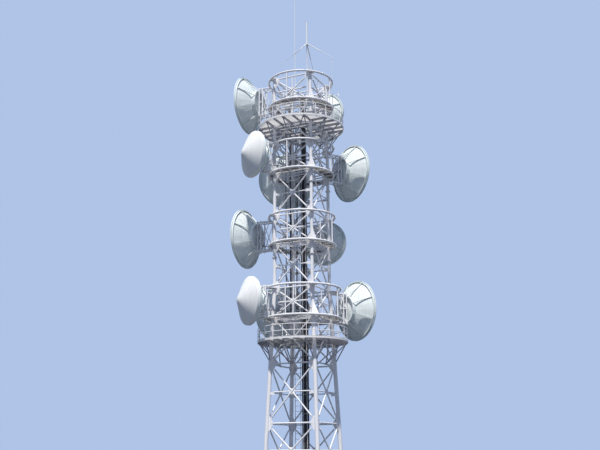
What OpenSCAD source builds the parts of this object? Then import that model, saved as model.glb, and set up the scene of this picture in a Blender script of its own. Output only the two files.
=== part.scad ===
// Relay tower of steel tube: four legs on a square plan, braced on each face, with four ring
// galleries, two railed round platforms, ten dish antennas and whip antennas at the top.
// The origin is on the tower's axis, level with the undersides of the base plates. +Z is up, and
// the faces look along X and Y. An azimuth turns from -Y towards +X.

/* [Levels] */
// Height of the waist frame above the ground
waist_z = 7500; // [7000:100:8000]
// Height of a braced panel above the waist
panel_h = 3000; // [2800:50:3200]
// Height of a gallery, from its bottom ring to its top ring
gallery_h = 2000; // [1900:20:2100]
// Height of the lowest work point of the bracing
foot_z = 320; // [300:10:400]

/* [Legs] */
// Half the distance between the leg centres in the straight upper part
top_half = 1380; // [1350:5:1420]
// Half the distance between the leg centres at the ground
base_half = 1885; // [1700:5:2000]
// Outside diameter of the straight upper legs
leg_d = 216; // [190:2:230]
// Outside diameter of the battered lower legs
low_leg_d = 267; // [240:1:280]
// Diameter of the bolted flanges between leg lengths
flange_d = 350; // [340:10:440]
// Thickness of one leg flange
flange_t = 26; // [20:1:36]
// Side of a square base plate
base_plate_w = 720; // [640:10:800]
// Thickness of a base plate
base_plate_t = 40; // [30:2:50]
// Diameter of an anchor bolt hole
anchor_hole_d = 42; // [36:1:50]
// Distance from the leg centre to an anchor hole, along X and Y
anchor_offset = 290; // [270:5:310]
// Height of a base plate stiffener
base_rib_h = 300; // [240:10:360]

/* [Bracing] */
// Diameter of a diagonal tube
diagonal_d = 100; // [80:2:114]
// Diameter of a horizontal tube at a main level
level_d = 100; // [80:2:114]
// Diameter of the thin struts at mid panel
strut_d = 76; // [60:2:90]
// Thickness of a gusset plate
gusset_t = 14; // [10:1:20]
// Distance from a leg's centre to the end of a diagonal tube
diagonal_trim = 560; // [520:10:620]
// Distance from a leg's centre to the end of a horizontal tube
level_trim = 420; // [400:5:440]
// Length of the flat tongue at the end of a tube
tongue_l = 230; // [200:5:240]
// Width of the flat tongue
tongue_w = 84; // [60:2:90]
// Thickness of the flat tongue
tongue_t = 12; // [8:1:16]
// Half the width of the plate where diagonals cross
cross_plate = 230; // [200:5:260]

/* [Galleries] */
// Radius of the upper gallery rings
ring_r = 2250; // [2200:10:2300]
// Radius of the lowest gallery's rings
low_ring_r = 2550; // [2500:10:2600]
// Diameter of a ring tube
ring_d = 140; // [120:2:150]
// Diameter of the posts between two rings
post_d = 90; // [76:2:102]
// Thickness of a gallery floor
floor_t = 30; // [25:1:40]
// Room between a floor and the steel that it passes
floor_gap = 10; // [6:1:20]
// Depth of a floor joist
joist_h = 80; // [60:2:100]
// Width of a floor joist
joist_w = 60; // [50:2:80]
// Half the depth of the climbing hatch
hatch_half = 400; // [380:10:440]
// Distance from a face's middle to its outer floor arms
arm_x = 700; // [600:10:800]
// Left end of the climbing hatch
hatch_left = -900; // [-980:10:-860]
// Right end of the climbing hatch
hatch_right = 320; // [300:10:400]

/* [Platforms] */
// Outer radius of a platform
platform_r = 3000; // [2950:10:3100]
// Thickness of the platform deck
deck_t = 40; // [30:1:50]
// Depth of the platform beams and rim
beam_h = 150; // [120:2:180]
// Width of a platform beam
beam_w = 60; // [50:2:80]
// Depth of the rim channel round a platform
rim_h = 90; // [70:5:120]
// Distance between neighbouring beams
beam_pitch = 700; // [680:5:720]
// Diameter of a knee brace
knee_d = 76; // [60:2:90]
// Height of the handrail above the deck
rail_h = 800; // [750:10:1100]
// Diameter of the handrail tube
rail_d = 42; // [34:1:50]
// Diameter of a handrail post
rail_post_d = 34; // [27:1:40]
// Number of handrail posts
rail_posts = 24; // [16:4:32]

/* [Dishes] */
// Azimuth of each dish, turning from -Y towards +X
dish_azimuths = [151, -137.5, -38, -88.5, 178.5, 149.5, -139.5, -34.5, -87, 177.5];
// Gallery that carries each dish, where 0 is the lowest
dish_galleries = [0, 0, 0, 1, 1, 2, 2, 2, 3, 3];
// Which of the dishes, counted from 0, are small ones with a cone radome
small_dishes = [2, 4, 7, 9];
// Distance from the outside of the ring to the back of each dish's hub drum
hub_reaches = [935, 875, 345, 975, 555, 965, 975, 555, 855, 555];
// Rim diameter of a large dish
big_rim_d = 4200; // [4100:10:4300]
// Rim diameter of a small dish
small_rim_d = 3200; // [3100:10:3300]
// Depth of a dish as a share of its reflector radius
dish_depth_ratio = 0.5; // [0.45:0.01:0.52]
// Width of the flat rim flange
rim_w = 90; // [70:5:110]
// Length of the short collar round the rim
collar_l = 170; // [140:5:200]
// Thickness of the reflector sheet and its backing
shell_t = 22; // [16:1:30]
// Diameter of the hub drum as a share of the rim diameter
hub_ratio = 0.44; // [0.4:0.01:0.48]
// Distance from the dish's vertex to the back of its hub drum
hub_back = 100; // [80:5:120]
// Thickness of the hub drum's wall
hub_t = 40; // [30:2:60]
// Width of a straight strut from the hub drum to the rim
strut_w = 80; // [60:2:100]
// Depth of that strut
strut_t = 45; // [30:1:60]
// Turn of the first strut about the dish's axis
strut_turn = 22.5; // [0:0.5:44]
// Height of the cone radome
cone_h = 950; // [850:10:1050]
// Depth of the straight band at the radome's edge
cone_band = 130; // [100:5:160]
// Radius of the radome's blunt tip
cone_tip_r = 190; // [150:5:220]
// Thickness of the covers and radomes
radome_t = 12; // [8:1:16]
// How much smaller than the rim a cover is
cover_inset = 8; // [4:1:20]

/* [Dish mounts] */
// Width of a large dish's mounting frame
big_frame_w = 700; // [640:10:760]
// Depth of a large dish's mounting frame
big_frame_l = 350; // [320:10:380]
// Width of a small dish's mounting frame
small_frame_w = 560; // [520:10:600]
// Depth of a small dish's mounting frame
small_frame_l = 200; // [190:5:210]
// Diameter of the frame tubes
frame_d = 90; // [60:2:100]
// Half the width of a saddle plate on a ring
saddle_half = 60; // [50:2:80]
// Thickness of a saddle plate
saddle_t = 16; // [12:1:20]

/* [Ladder and cables] */
// Middle of the climbing ladder along X
ladder_x = -560; // [-600:10:-540]
// Width of the climbing ladder
ladder_w = 420; // [380:10:440]
// Distance between rungs
rung_pitch = 350; // [300:10:400]
// Diameter of a rung
rung_d = 24; // [20:1:30]
// Depth of the ladder's side rails
ladder_depth = 65; // [50:1:75]
// Thickness of the ladder's side rails
ladder_t = 12; // [8:1:16]
// Width of the cable tray
tray_w = 420; // [400:10:440]
// Distance between the tray's cross bars
tray_pitch = 1250; // [1000:50:1500]
// Depth of the tray's side rails
tray_depth = 60; // [50:1:75]
// Thickness of the tray's side rails and cross bars
tray_t = 8; // [6:1:12]
// Height of the face of a cross bar
tray_bar = 40; // [30:1:50]
// Number of waveguides on the tray
guide_count = 6; // [4:1:6]
// Diameter of a waveguide
guide_d = 52; // [40:1:56]
// Gap between two waveguides
guide_gap = 6; // [4:1:8]

/* [Top antennas] */
// Azimuth of the ground-plane antenna's mast
mast_azimuth = 38; // [36:1:40]
// Distance of that mast from the tower's axis
mast_r = 2110; // [2105:1:2115]
// Diameter of that mast
mast_d = 50; // [42:1:60]
// Height of the radials' hub above the top ring
mast_rise = 2100; // [1900:10:2300]
// Length of the upright radiator above the hub
radiator_l = 1700; // [1500:10:1900]
// Horizontal reach of a drooping radial
radial_reach = 1880; // [1700:10:2000]
// Drop of a drooping radial
radial_drop = 1350; // [1200:10:1450]
// Distance from the back left leg's centre to the long whip, along X
whip_in = 200; // [180:10:240]
// Distance from the back face's plane to the long whip
whip_off = 150; // [120:5:200]
// Diameter of the long whip's lower tube
whip_d = 60; // [50:1:70]
// Length of that lower tube
whip_low_l = 2000; // [1800:50:2400]
// How far below the top ring's level the long whip starts
whip_drop = 700; // [600:10:800]
// Height of the long whip's tip above the top ring
whip_rise = 9000; // [8000:100:10000]
// Height of the short whip above the top ring
short_whip_rise = 1850; // [1700:10:2000]
// Azimuth of the short whip
short_whip_azimuth = 115.5; // [110:0.5:120]
// Diameter of the ball on the short whip
ball_d = 60; // [50:2:80]

/* [Hidden] */
$fn = 32;
few_sides = 8;
seat = 0.3;
corners = [0, 1, 2, 3];
gallery_count = 4;

function gallery_z(g) = waist_z + panel_h + g * (gallery_h + panel_h);
function ring_radius(g) = g == 0 ? low_ring_r : ring_r;

batter_z = gallery_z(0) + gallery_h;
batter = atan((base_half - top_half) / batter_z);
crown_z = gallery_z(gallery_count - 1) + gallery_h;
platform_z = [waist_z + panel_h / 2, gallery_z(2) + gallery_h + panel_h / 2];

// Half the distance between leg centres at a height
function half_at(z) = top_half + max(0, batter_z - z) * tan(batter);
function leg_r_at(z) = (z < batter_z ? low_leg_d : leg_d) / 2;

low_levels = [foot_z, waist_z / 2, waist_z, gallery_z(0), batter_z];
high_levels = [batter_z, gallery_z(1), gallery_z(1) + gallery_h, gallery_z(2), gallery_z(2) + gallery_h,
    gallery_z(3), crown_z];
flange_levels = [waist_z + panel_h * 0.3, gallery_z(1) - panel_h * 0.3, gallery_z(2) - panel_h * 0.3,
    gallery_z(3) - panel_h * 0.3];

steel = "#d9d9e2";
deck_grey = "#8f8a86";
dish_green = "#b9c4bd";
radome_white = "#f1f1ee";
cable_black = "#33322f";

// A tube between two points
module tube(a, b, d, sides = few_sides) {
    run = b - a;
    flat = norm([run.x, run.y]);
    translate(a) rotate([0, atan2(flat, run.z), atan2(run.y, run.x)])
        cylinder(d = d, h = norm(run), $fn = sides);
}

// Turns a child that faces -Y to an azimuth
module at_azimuth(azimuth) {
    rotate([0, 0, azimuth]) children();
}

// The frame of a face's battered lower part: X along the face, Z up its slope, from the kink
module lower_face() {
    translate([0, -top_half, batter_z]) rotate([-batter, 0, 0]) children();
}

// The frame of a face's straight upper part
module upper_face() {
    translate([0, -top_half, batter_z]) children();
}

function slope_v(z) = (z - batter_z) / (z < batter_z ? cos(batter) : 1);

// A plate in a face's plane, from an outline of [along, up] points
module face_plate(outline, t = gusset_t) {
    rotate([90, 0, 0]) linear_extrude(t, center = true) polygon(outline);
}

// A flat tongue, bolted to the face of a gusset, at the end of a tube that runs along +X
module tongue() {
    translate([-tongue_l / 2, gusset_t / 2 + seat, -tongue_w / 2])
        cube([tongue_l, tongue_t, tongue_w]);
}

// A bracing tube in a face's plane, cut short at each end, with a tongue where it meets a leg
module face_bar(p, q, d, trim_p, trim_q, tongue_p = true, tongue_q = true) {
    run = q - p;
    translate([p.x, 0, p.y]) rotate([0, -atan2(run.y, run.x), 0]) {
        translate([trim_p, 0, 0]) rotate([0, 90, 0])
            cylinder(d = d, h = norm(run) - trim_p - trim_q, $fn = few_sides);
        if (tongue_p) translate([trim_p, 0, 0]) tongue();
        if (tongue_q) translate([norm(run) - trim_q, 0, 0]) tongue();
    }
}

// One braced panel: crossed diagonals on a plate, with a thin strut across or, in a gallery, upright
module panel(z0, z1, gallery) {
    p0 = [half_at(z0), slope_v(z0 + seat)];
    p1 = [half_at(z1), slope_v(z1 - seat)];
    low_left = [-p0.x, p0.y];
    high_left = [-p1.x, p1.y];
    rise = p1.y - p0.y;
    mid = [0, p0.y + rise * p0.x / (p0.x + p1.x)];
    plate_gap = diagonal_d * 0.95;
    face_bar(low_left, p1, diagonal_d, diagonal_trim, diagonal_trim);
    face_bar(p0, mid, diagonal_d, diagonal_trim, plate_gap, tongue_q = false);
    face_bar(high_left, mid, diagonal_d, diagonal_trim, plate_gap, tongue_q = false);
    face_plate([for (side = [-1, 1], step = [-1, -0.4, 0.4, 1]) [
        side * cross_plate * (abs(step) == 1 ? 0.5 : 1),
        mid.y + side * step * cross_plate * 0.8]]);
    if (gallery) {
        for (end = [p0.y, p1.y])
            face_bar([0, end], mid, strut_d, level_d / 2 + seat, cross_plate * 0.6,
                tongue_p = false, tongue_q = false);
    } else {
        reach = (p0.x + p1.x) / 2;
        for (side = [-1, 1])
            face_bar([side * reach, mid.y], mid, strut_d, level_trim, cross_plate * 0.7, tongue_q = false);
    }
}

// The horizontal tube of a main level
module level_bar(z) {
    reach = half_at(z);
    face_bar([-reach, slope_v(z)], [reach, slope_v(z)], level_d, level_trim, level_trim);
}

module face_bracing() {
    color(steel) {
        lower_face() {
            for (i = [0:len(low_levels) - 2])
                panel(low_levels[i], low_levels[i + 1], i == len(low_levels) - 2);
            for (i = [1:len(low_levels) - 2]) level_bar(low_levels[i]);
        }
        upper_face() {
            for (i = [0:len(high_levels) - 2])
                panel(high_levels[i], high_levels[i + 1], i % 2 == 1);
            for (z = high_levels) level_bar(z);
        }
    }
}

// The solid core of the leg at the +X, -Y corner, grown by a clearance
module leg_core(grow = 0) {
    tilt_top = [top_half, -top_half, batter_z];
    tilt_low = [base_half, -base_half, 0];
    foot = tilt_low + (tilt_top - tilt_low) * (base_plate_t / 2 / batter_z);
    tube(foot, tilt_top, low_leg_d + 2 * grow, $fn);
    translate(tilt_top) cylinder(d = leg_d + 2 * grow, h = crown_z - batter_z + leg_d / 2 + grow);
}

// A pair of gussets in a face's plane at a leg, for the bars that meet it there
module leg_gusset(z, up, down, reach) {
    x = half_at(z);
    v = slope_v(z);
    shoulder = level_d;
    face_plate([[x, v - down], [x - reach * 0.45, v - down], [x - reach, v - shoulder],
        [x - reach, v + shoulder], [x - reach * 0.45, v + up], [x, v + up]]);
}

module leg_gussets() {
    reach = level_trim - 12;
    tall = diagonal_trim * 0.82;
    lower_face() {
        for (z = low_levels) if (z < batter_z)
            leg_gusset(z, tall, z == foot_z ? foot_z - base_plate_t : tall, reach);
        for (i = [0:len(low_levels) - 3])
            leg_gusset((low_levels[i] + low_levels[i + 1]) / 2, tongue_w, tongue_w, reach);
    }
    upper_face() {
        for (z = high_levels) leg_gusset(z, z == crown_z ? tongue_w : tall, tall, reach);
        for (i = [0:2:len(high_levels) - 2])
            leg_gusset((high_levels[i] + high_levels[i + 1]) / 2, tongue_w, tongue_w, reach);
    }
}

// The radial plates that carry the two rings of a gallery on the leg
module ring_brackets(g) {
    plate_h = ring_d * 0.9;
    for (z = [gallery_z(g), gallery_z(g) + gallery_h]) {
        leg_r = half_at(z) * sqrt(2);
        reach = ring_radius(g) - ring_d / 2 - seat - leg_r;
        rotate([0, 0, 45]) translate([-gusset_t / 2, -leg_r - reach, z - plate_h / 2])
            cube([gusset_t, reach, plate_h]);
    }
}

module base_plate() {
    half = base_plate_w / 2;
    translate([base_half, -base_half, 0]) {
        difference() {
            translate([-half, -half, 0]) cube([base_plate_w, base_plate_w, base_plate_t]);
            for (x = [-1, 1], y = [-1, 1])
                translate([x * anchor_offset, y * anchor_offset, -1])
                    cylinder(d = anchor_hole_d, h = base_plate_t + 2);
        }
        for (turn = [0, 90]) rotate([0, 0, turn]) rotate([90, 0, 0])
            linear_extrude(gusset_t, center = true) polygon([
                [-half * 0.95, base_plate_t], [half * 0.95, base_plate_t],
                [low_leg_d / 2, base_rib_h], [-low_leg_d / 2, base_rib_h]]);
    }
}

module leg() {
    color(steel) {
        leg_core();
        base_plate();
        leg_gussets();
        mirror([1, 1, 0]) leg_gussets();
        for (g = [0:gallery_count - 1]) ring_brackets(g);
        for (z = flange_levels) if (z > batter_z)
            translate([top_half, -top_half, z - flange_t]) cylinder(d = flange_d, h = 2 * flange_t);
        translate([top_half, -top_half, batter_z - flange_t]) cylinder(d = flange_d, h = 2 * flange_t);
        translate([top_half, -top_half, crown_z + leg_d / 2])
            cylinder(d = leg_d + 2 * flange_t, h = flange_t);
    }
}

module ring(r, z, grow = 0) {
    translate([0, 0, z]) rotate_extrude($fn = 96) translate([r, 0]) circle(d = ring_d + 2 * grow);
}

module ring_frame(g) {
    r = ring_radius(g);
    z = gallery_z(g);
    color(steel) {
        ring(r, z);
        ring(r, z + gallery_h);
        difference() {
            for (turn = corners) rotate([0, 0, 90 * turn]) translate([0, -r, z])
                cylinder(d = post_d, h = gallery_h);
            ring(r, z, seat);
            ring(r, z + gallery_h, seat);
        }
    }
}

// The hatch that the ladder and the cables pass through
module hatch(h) {
    translate([hatch_left, -hatch_half, 0]) cube([hatch_right - hatch_left, 2 * hatch_half, h]);
}

// The joists inside the faces, which carry the ladder and the cable tray
module inner_joists(half, bar_d, top) {
    reach = half - bar_d / 2 - seat;
    for (y = [-1, 1], row = [hatch_half + joist_w / 2, half - level_trim - joist_w])
        translate([-reach, y * row - joist_w / 2, top - joist_h]) cube([2 * reach, joist_w, joist_h]);
}

// A walkway outside each face, on arms between the level tube and the ring, and joists inside the faces
module gallery_floor(g) {
    z = gallery_z(g);
    half = half_at(z);
    outer = ring_radius(g) - ring_d / 2 - seat;
    arm_top = z + level_d / 2;
    face_gap = diagonal_d / 2 + floor_gap;
    color(deck_grey) {
        difference() {
            translate([0, 0, arm_top + seat]) cylinder(r = outer, h = floor_t, $fn = 96);
            translate([-half - face_gap, -half - face_gap, arm_top])
                cube([2 * (half + face_gap), 2 * (half + face_gap), floor_t + 2]);
            for (turn = corners) rotate([0, 0, 90 * turn]) {
                translate([half, -half, arm_top]) cylinder(r = leg_r_at(z) + floor_gap, h = floor_t + 2);
                rotate([0, 0, 45]) translate([-gusset_t / 2 - floor_gap, -outer - 1, arm_top])
                    cube([gusset_t + 2 * floor_gap, outer - half, floor_t + 2]);
            }
        }
        for (turn = corners, x = [-arm_x, 0, arm_x]) {
            arm_in = half + level_d / 2 + seat;
            arm_out = sqrt(pow(outer, 2) - pow(abs(x) + joist_w / 2, 2));
            rotate([0, 0, 90 * turn]) translate([x - joist_w / 2, -arm_out, arm_top - joist_h])
                cube([joist_w, arm_out - arm_in, joist_h]);
        }
        inner_joists(half, level_d, arm_top);
    }
}

// A knee brace, cut level at its top
module knee(low, high, top) {
    difference() {
        tube(low, high, knee_d);
        translate([-platform_r, -platform_r, top]) cube([2 * platform_r, 2 * platform_r, beam_h]);
    }
}

// The beams of a platform: a rim channel, five cantilevers on each face, and inner joists. Knees rise
// to it from the legs and from the middle of each face
module platform_frame(i) {
    z = platform_z[i];
    beam_z = z + strut_d / 2 - beam_h - deck_t / 2;
    half = half_at(z);
    inner = half + diagonal_d / 2 + 4;
    rim_in = platform_r - beam_w;
    node_z = z - panel_h / 2;
    node_half = half_at(node_z);
    saddle_y = -node_half - level_d / 2 - 2 * seat - saddle_t;
    color(steel) {
        translate([0, 0, beam_z + beam_h - rim_h]) difference() {
            cylinder(r = platform_r, h = rim_h, $fn = 96);
            translate([0, 0, -1]) cylinder(r = rim_in, h = rim_h + 2, $fn = 96);
        }
        difference() {
            for (turn = corners) rotate([0, 0, 90 * turn]) {
                for (step = [-2:2]) {
                    x = step * beam_pitch;
                    tip = sqrt(pow(platform_r - beam_w / 2, 2) - pow(abs(x) + beam_w / 2, 2));
                    translate([x - beam_w / 2, -tip, beam_z]) cube([beam_w, tip - inner, beam_h]);
                }
                for (step = [-2, 0, 2]) {
                    x = step * beam_pitch;
                    tip = [x, 0.97 * -sqrt(pow(rim_in, 2) - pow(x, 2)), beam_z + beam_h / 3];
                    knee([0, saddle_y - knee_d * 0.2, node_z], tip, beam_z - seat);
                    if (step != 0)
                        knee([sign(x) * node_half, -node_half, node_z + level_d], tip, beam_z - seat);
                }
                translate([-saddle_half, saddle_y, node_z - saddle_half])
                    cube([2 * saddle_half, saddle_t, 2 * saddle_half]);
            }
            for (turn = corners) rotate([0, 0, 90 * turn]) leg_core(seat);
        }
        inner_joists(half, strut_d, beam_z + beam_h);
    }
}

// The deck has an outer ring and an inner square, with the bracing of the faces between them
module deck(i) {
    z = platform_z[i];
    deck_z = z + strut_d / 2 - deck_t / 2 + seat;
    half = half_at(z);
    slot = diagonal_d / 2 + floor_gap;
    color(deck_grey) translate([0, 0, deck_z]) difference() {
        cylinder(r = platform_r, h = deck_t, $fn = 96);
        translate([0, 0, -1]) {
            hatch(deck_t + 2);
            for (turn = corners) rotate([0, 0, 90 * turn]) {
                translate([-half - slot, -half - slot, 0]) cube([2 * (half + slot), 2 * slot, deck_t + 2]);
                translate([half, -half, 0]) cylinder(r = leg_r_at(z) + floor_gap, h = deck_t + 2);
            }
        }
    }
}

module handrail(i) {
    foot = platform_z[i] + strut_d / 2 + deck_t / 2 + 2 * seat;
    r = platform_r - rail_post_d;
    color(steel) {
        for (n = [0:rail_posts - 1]) rotate([0, 0, 360 / rail_posts * n])
            translate([0, -r, foot]) cylinder(d = rail_post_d, h = rail_h - rail_d / 2, $fn = few_sides);
        for (share = [0.5, 1]) translate([0, 0, foot + rail_h * share - rail_d / 2])
            rotate_extrude($fn = 96) translate([r, 0]) circle(d = rail_d);
    }
}

module ladder() {
    top = crown_z - rung_pitch;
    back = hatch_half - seat;
    color(steel) {
        for (side = [-1, 1]) translate([ladder_x + side * (ladder_w - ladder_t) / 2 - ladder_t / 2,
            back - ladder_depth, 0]) cube([ladder_t, ladder_depth, top]);
        for (z = [rung_pitch:rung_pitch:top - rung_pitch / 2])
            translate([ladder_x - ladder_w / 2 + ladder_t / 2, back - ladder_depth / 2, z]) rotate([0, 90, 0])
                cylinder(d = rung_d, h = ladder_w - ladder_t, $fn = few_sides);
    }
}

module cable_tray() {
    top = crown_z - tray_pitch / 2;
    back = hatch_half - seat;
    color(steel) {
        for (side = [-1, 1]) translate([side * (tray_w - tray_t) / 2 - tray_t / 2, back - tray_depth, 0])
            cube([tray_t, tray_depth, top]);
        for (z = [tray_pitch / 2:tray_pitch:top - tray_bar])
            translate([-tray_w / 2 + tray_t / 2, back - tray_depth / 2, z])
                cube([tray_w - tray_t, tray_t, tray_bar]);
    }
}

// The waveguides hang on the front of the tray's cross bars
module waveguides() {
    bar_front = hatch_half - seat - tray_depth / 2;
    pitch = guide_d + guide_gap;
    color(cable_black) for (n = [0:guide_count - 1])
        translate([(n - (guide_count - 1) / 2) * pitch, bar_front - seat - guide_d / 2, 0])
            cylinder(d = guide_d, h = crown_z - tray_pitch / 2 - tray_w / 4, $fn = 12);
}

function is_large(n) = len(search(n, small_dishes)) == 0;
function rim_d(n) = is_large(n) ? big_rim_d : small_rim_d;
function reflector_r(n) = rim_d(n) / 2 - rim_w;
function dish_depth(n) = reflector_r(n) * dish_depth_ratio;
function ring_outside(n) = ring_radius(dish_galleries[n]) + ring_d / 2;
function hub_plane(n) = ring_outside(n) + hub_reaches[n];
function dish_z(n) = gallery_z(dish_galleries[n]) + gallery_h / 2;

// Puts a child that opens along +Z, from its vertex, at a dish's place
module at_dish(n) {
    at_azimuth(dish_azimuths[n]) translate([0, -hub_plane(n) - hub_back, dish_z(n)]) rotate([90, 0, 0])
        children();
}

// A parabolic reflector with a rim flange and collar, and behind it a hub drum whose straight struts
// reach the collar clear of the reflector
module dish(n) {
    r = reflector_r(n);
    depth = dish_depth(n);
    hub_r = rim_d(n) * hub_ratio / 2;
    steps = 9;
    curve = [for (i = [0:steps]) [r * i / steps, depth * pow(i / steps, 2)]];
    back = [for (i = [steps:-1:0]) curve[i] - [0, shell_t]];
    color(dish_green) at_dish(n) {
        rotate_extrude($fn = 96) polygon(concat(curve, back));
        rotate_extrude($fn = 96) polygon([
            [r - shell_t, depth], [r + rim_w, depth], [r + rim_w, depth - shell_t],
            [r + shell_t, depth - shell_t], [r + shell_t, depth - collar_l], [r - shell_t, depth - collar_l]]);
        rotate_extrude($fn = 96) polygon([[hub_r - hub_t, -hub_back], [hub_r, -hub_back],
            [hub_r, depth * pow(hub_r / r, 2) - shell_t / 2],
            [hub_r - hub_t, depth * pow((hub_r - hub_t) / r, 2) - shell_t / 2]]);
        for (turn = [strut_turn:45:359]) rotate([0, 0, turn]) rotate([90, 0, 0])
            linear_extrude(strut_w, center = true) polygon([
                [hub_r - hub_t / 2, hub_t / 4 - hub_back], [r, depth - collar_l / 2 - strut_t],
                [r, depth - collar_l / 2], [hub_r - hub_t / 2, hub_t / 4 - hub_back + strut_t]]);
    }
}

// The stretched flat cover of a large dish
module flat_cover(n) {
    at_dish(n) translate([0, 0, dish_depth(n) + seat])
        cylinder(d = rim_d(n) - cover_inset, h = radome_t, $fn = 96);
}

// The cone radome of a small dish, with a straight band and a blunt tip
module cone_radome(n) {
    r = (rim_d(n) - cover_inset) / 2;
    slope = (cone_h - cone_band) / r;
    tip_z = cone_h - slope * cone_tip_r;
    tip_rise = slope * cone_tip_r / 3;
    tip = [for (i = [0:3]) let (x = 1 - i / 3) [cone_tip_r * x, tip_z + tip_rise * (1 - x * x)]];
    inside = [for (i = [3:-1:0]) tip[i] - [0, radome_t]];
    at_dish(n) translate([0, 0, dish_depth(n) + seat]) rotate_extrude($fn = 96) polygon(concat(
        [[r, 0], [r, cone_band]], tip, inside, [[r - radome_t, cone_band - radome_t], [r - radome_t, 0]]));
}

// A lattice box behind a dish, with arms whose saddles sit on the outside of the gallery's rings
module dish_mount(n) {
    r = ring_outside(n);
    w = is_large(n) ? big_frame_w : small_frame_w;
    l = is_large(n) ? big_frame_l : small_frame_l;
    outer = hub_plane(n) - seat - frame_d / 2;
    inner = outer - l + frame_d;
    x = (w - frame_d) / 2;
    saddle = sqrt(pow(r, 2) - pow(x - saddle_half, 2)) + seat;
    half_h = gallery_h / 2;
    at_azimuth(dish_azimuths[n]) translate([0, 0, dish_z(n)]) {
        for (side = [-1, 1]) {
            for (y = [inner, outer])
                tube([side * x, -y, -half_h - frame_d], [side * x, -y, half_h + frame_d], frame_d);
            for (z = [-half_h, 0, half_h])
                tube([side * x, -inner, z], [side * x, -outer, z], frame_d * 0.8);
            for (z = [-half_h, half_h]) {
                tube([side * x, -saddle - saddle_t / 2, z], [side * x, -inner, z], frame_d * 0.9);
                translate([side * x - saddle_half, -saddle - saddle_t, z - ring_d / 2])
                    cube([2 * saddle_half, saddle_t, ring_d]);
            }
        }
        for (y = [inner, outer], z = [-half_h, 0, half_h])
            tube([-x, -y, z], [x, -y, z], frame_d * 0.8);
        for (z = [-half_h, 0])
            tube([-x, -outer, z], [x, -outer, z + half_h], frame_d * 0.7);
    }
}

module dish_mounts(g) {
    color(steel) for (n = [0:len(dish_azimuths) - 1]) if (dish_galleries[n] == g) dish_mount(n);
}

module flat_covers() {
    color(radome_white) for (n = [0:len(dish_azimuths) - 1]) if (is_large(n)) flat_cover(n);
}

module cone_radomes() {
    color(radome_white) for (n = [0:len(dish_azimuths) - 1]) if (!is_large(n)) cone_radome(n);
}

module ground_plane_antenna() {
    hub = crown_z + mast_rise;
    foot = gallery_z(gallery_count - 1) + level_d / 2 + floor_t + 2 * seat;
    clamp_l = ring_r - ring_d / 2 - seat - mast_r;
    color(steel) at_azimuth(mast_azimuth) translate([0, -mast_r, 0]) {
        translate([0, 0, foot]) cylinder(d = mast_d, h = hub - foot);
        translate([-mast_d / 2, -clamp_l, crown_z - mast_d / 2]) cube([mast_d, clamp_l, mast_d]);
        translate([0, 0, hub - 60]) cylinder(d = 90, h = 120);
        translate([0, 0, hub]) cylinder(d = 30, h = radiator_l);
        for (turn = [0:90:270]) rotate([0, 0, turn - mast_azimuth + 10.5]) {
            half_way = [0, -radial_reach / 2, hub - radial_drop / 2];
            tube([0, 0, hub], half_way, 34);
            tube(half_way, [0, -radial_reach, hub - radial_drop], 22);
        }
    }
}

module long_whip() {
    clamp_y = gusset_t / 2 + seat;
    color(steel) translate([whip_in - top_half, top_half + whip_off, crown_z]) {
        translate([0, 0, -whip_drop]) cylinder(d = whip_d, h = whip_low_l);
        translate([0, 0, -whip_drop]) cylinder(d = whip_d * 0.6, h = whip_drop + whip_rise, $fn = 16);
        for (drop = [0, level_trim * 0.8]) translate([-whip_d / 2, clamp_y - whip_off, -drop - whip_d / 2])
            cube([whip_d, whip_off - clamp_y, whip_d]);
    }
}

module short_whip() {
    color(steel) at_azimuth(short_whip_azimuth) translate([0, -ring_r, crown_z + ring_d / 2 + seat]) {
        cylinder(d = ball_d / 3, h = short_whip_rise);
        translate([0, 0, short_whip_rise]) sphere(d = ball_d);
    }
}

mirror([1, 0, 0]) leg();  // leg_front_left
leg();  // leg_front_right
mirror([0, 1, 0]) leg();  // leg_back_right
rotate([0, 0, 180]) leg();  // leg_back_left
face_bracing();  // bracing_front
rotate([0, 0, 90]) face_bracing();  // bracing_right
rotate([0, 0, 180]) face_bracing();  // bracing_back
rotate([0, 0, 270]) face_bracing();  // bracing_left
ring_frame(0);  // ring_frame_1
ring_frame(1);  // ring_frame_2
ring_frame(2);  // ring_frame_3
ring_frame(3);  // ring_frame_4
gallery_floor(0);  // gallery_floor_1
gallery_floor(1);  // gallery_floor_2
gallery_floor(2);  // gallery_floor_3
gallery_floor(3);  // gallery_floor_4
platform_frame(0);  // lower_platform_frame
platform_frame(1);  // upper_platform_frame
deck(0);  // lower_deck
deck(1);  // upper_deck
handrail(0);  // lower_handrail
handrail(1);  // upper_handrail
ladder();
cable_tray();
waveguides();
dish_mounts(0);  // dish_mounts_1
dish_mounts(1);  // dish_mounts_2
dish_mounts(2);  // dish_mounts_3
dish_mounts(3);  // dish_mounts_4
dish(0);  // dish_1
dish(1);  // dish_2
dish(2);  // dish_3
dish(3);  // dish_4
dish(4);  // dish_5
dish(5);  // dish_6
dish(6);  // dish_7
dish(7);  // dish_8
dish(8);  // dish_9
dish(9);  // dish_10
flat_covers();
cone_radomes();
ground_plane_antenna();
long_whip();
short_whip();
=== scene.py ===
import math

import bmesh
import bpy
import numpy as np
from mathutils import Matrix, Vector


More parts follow.
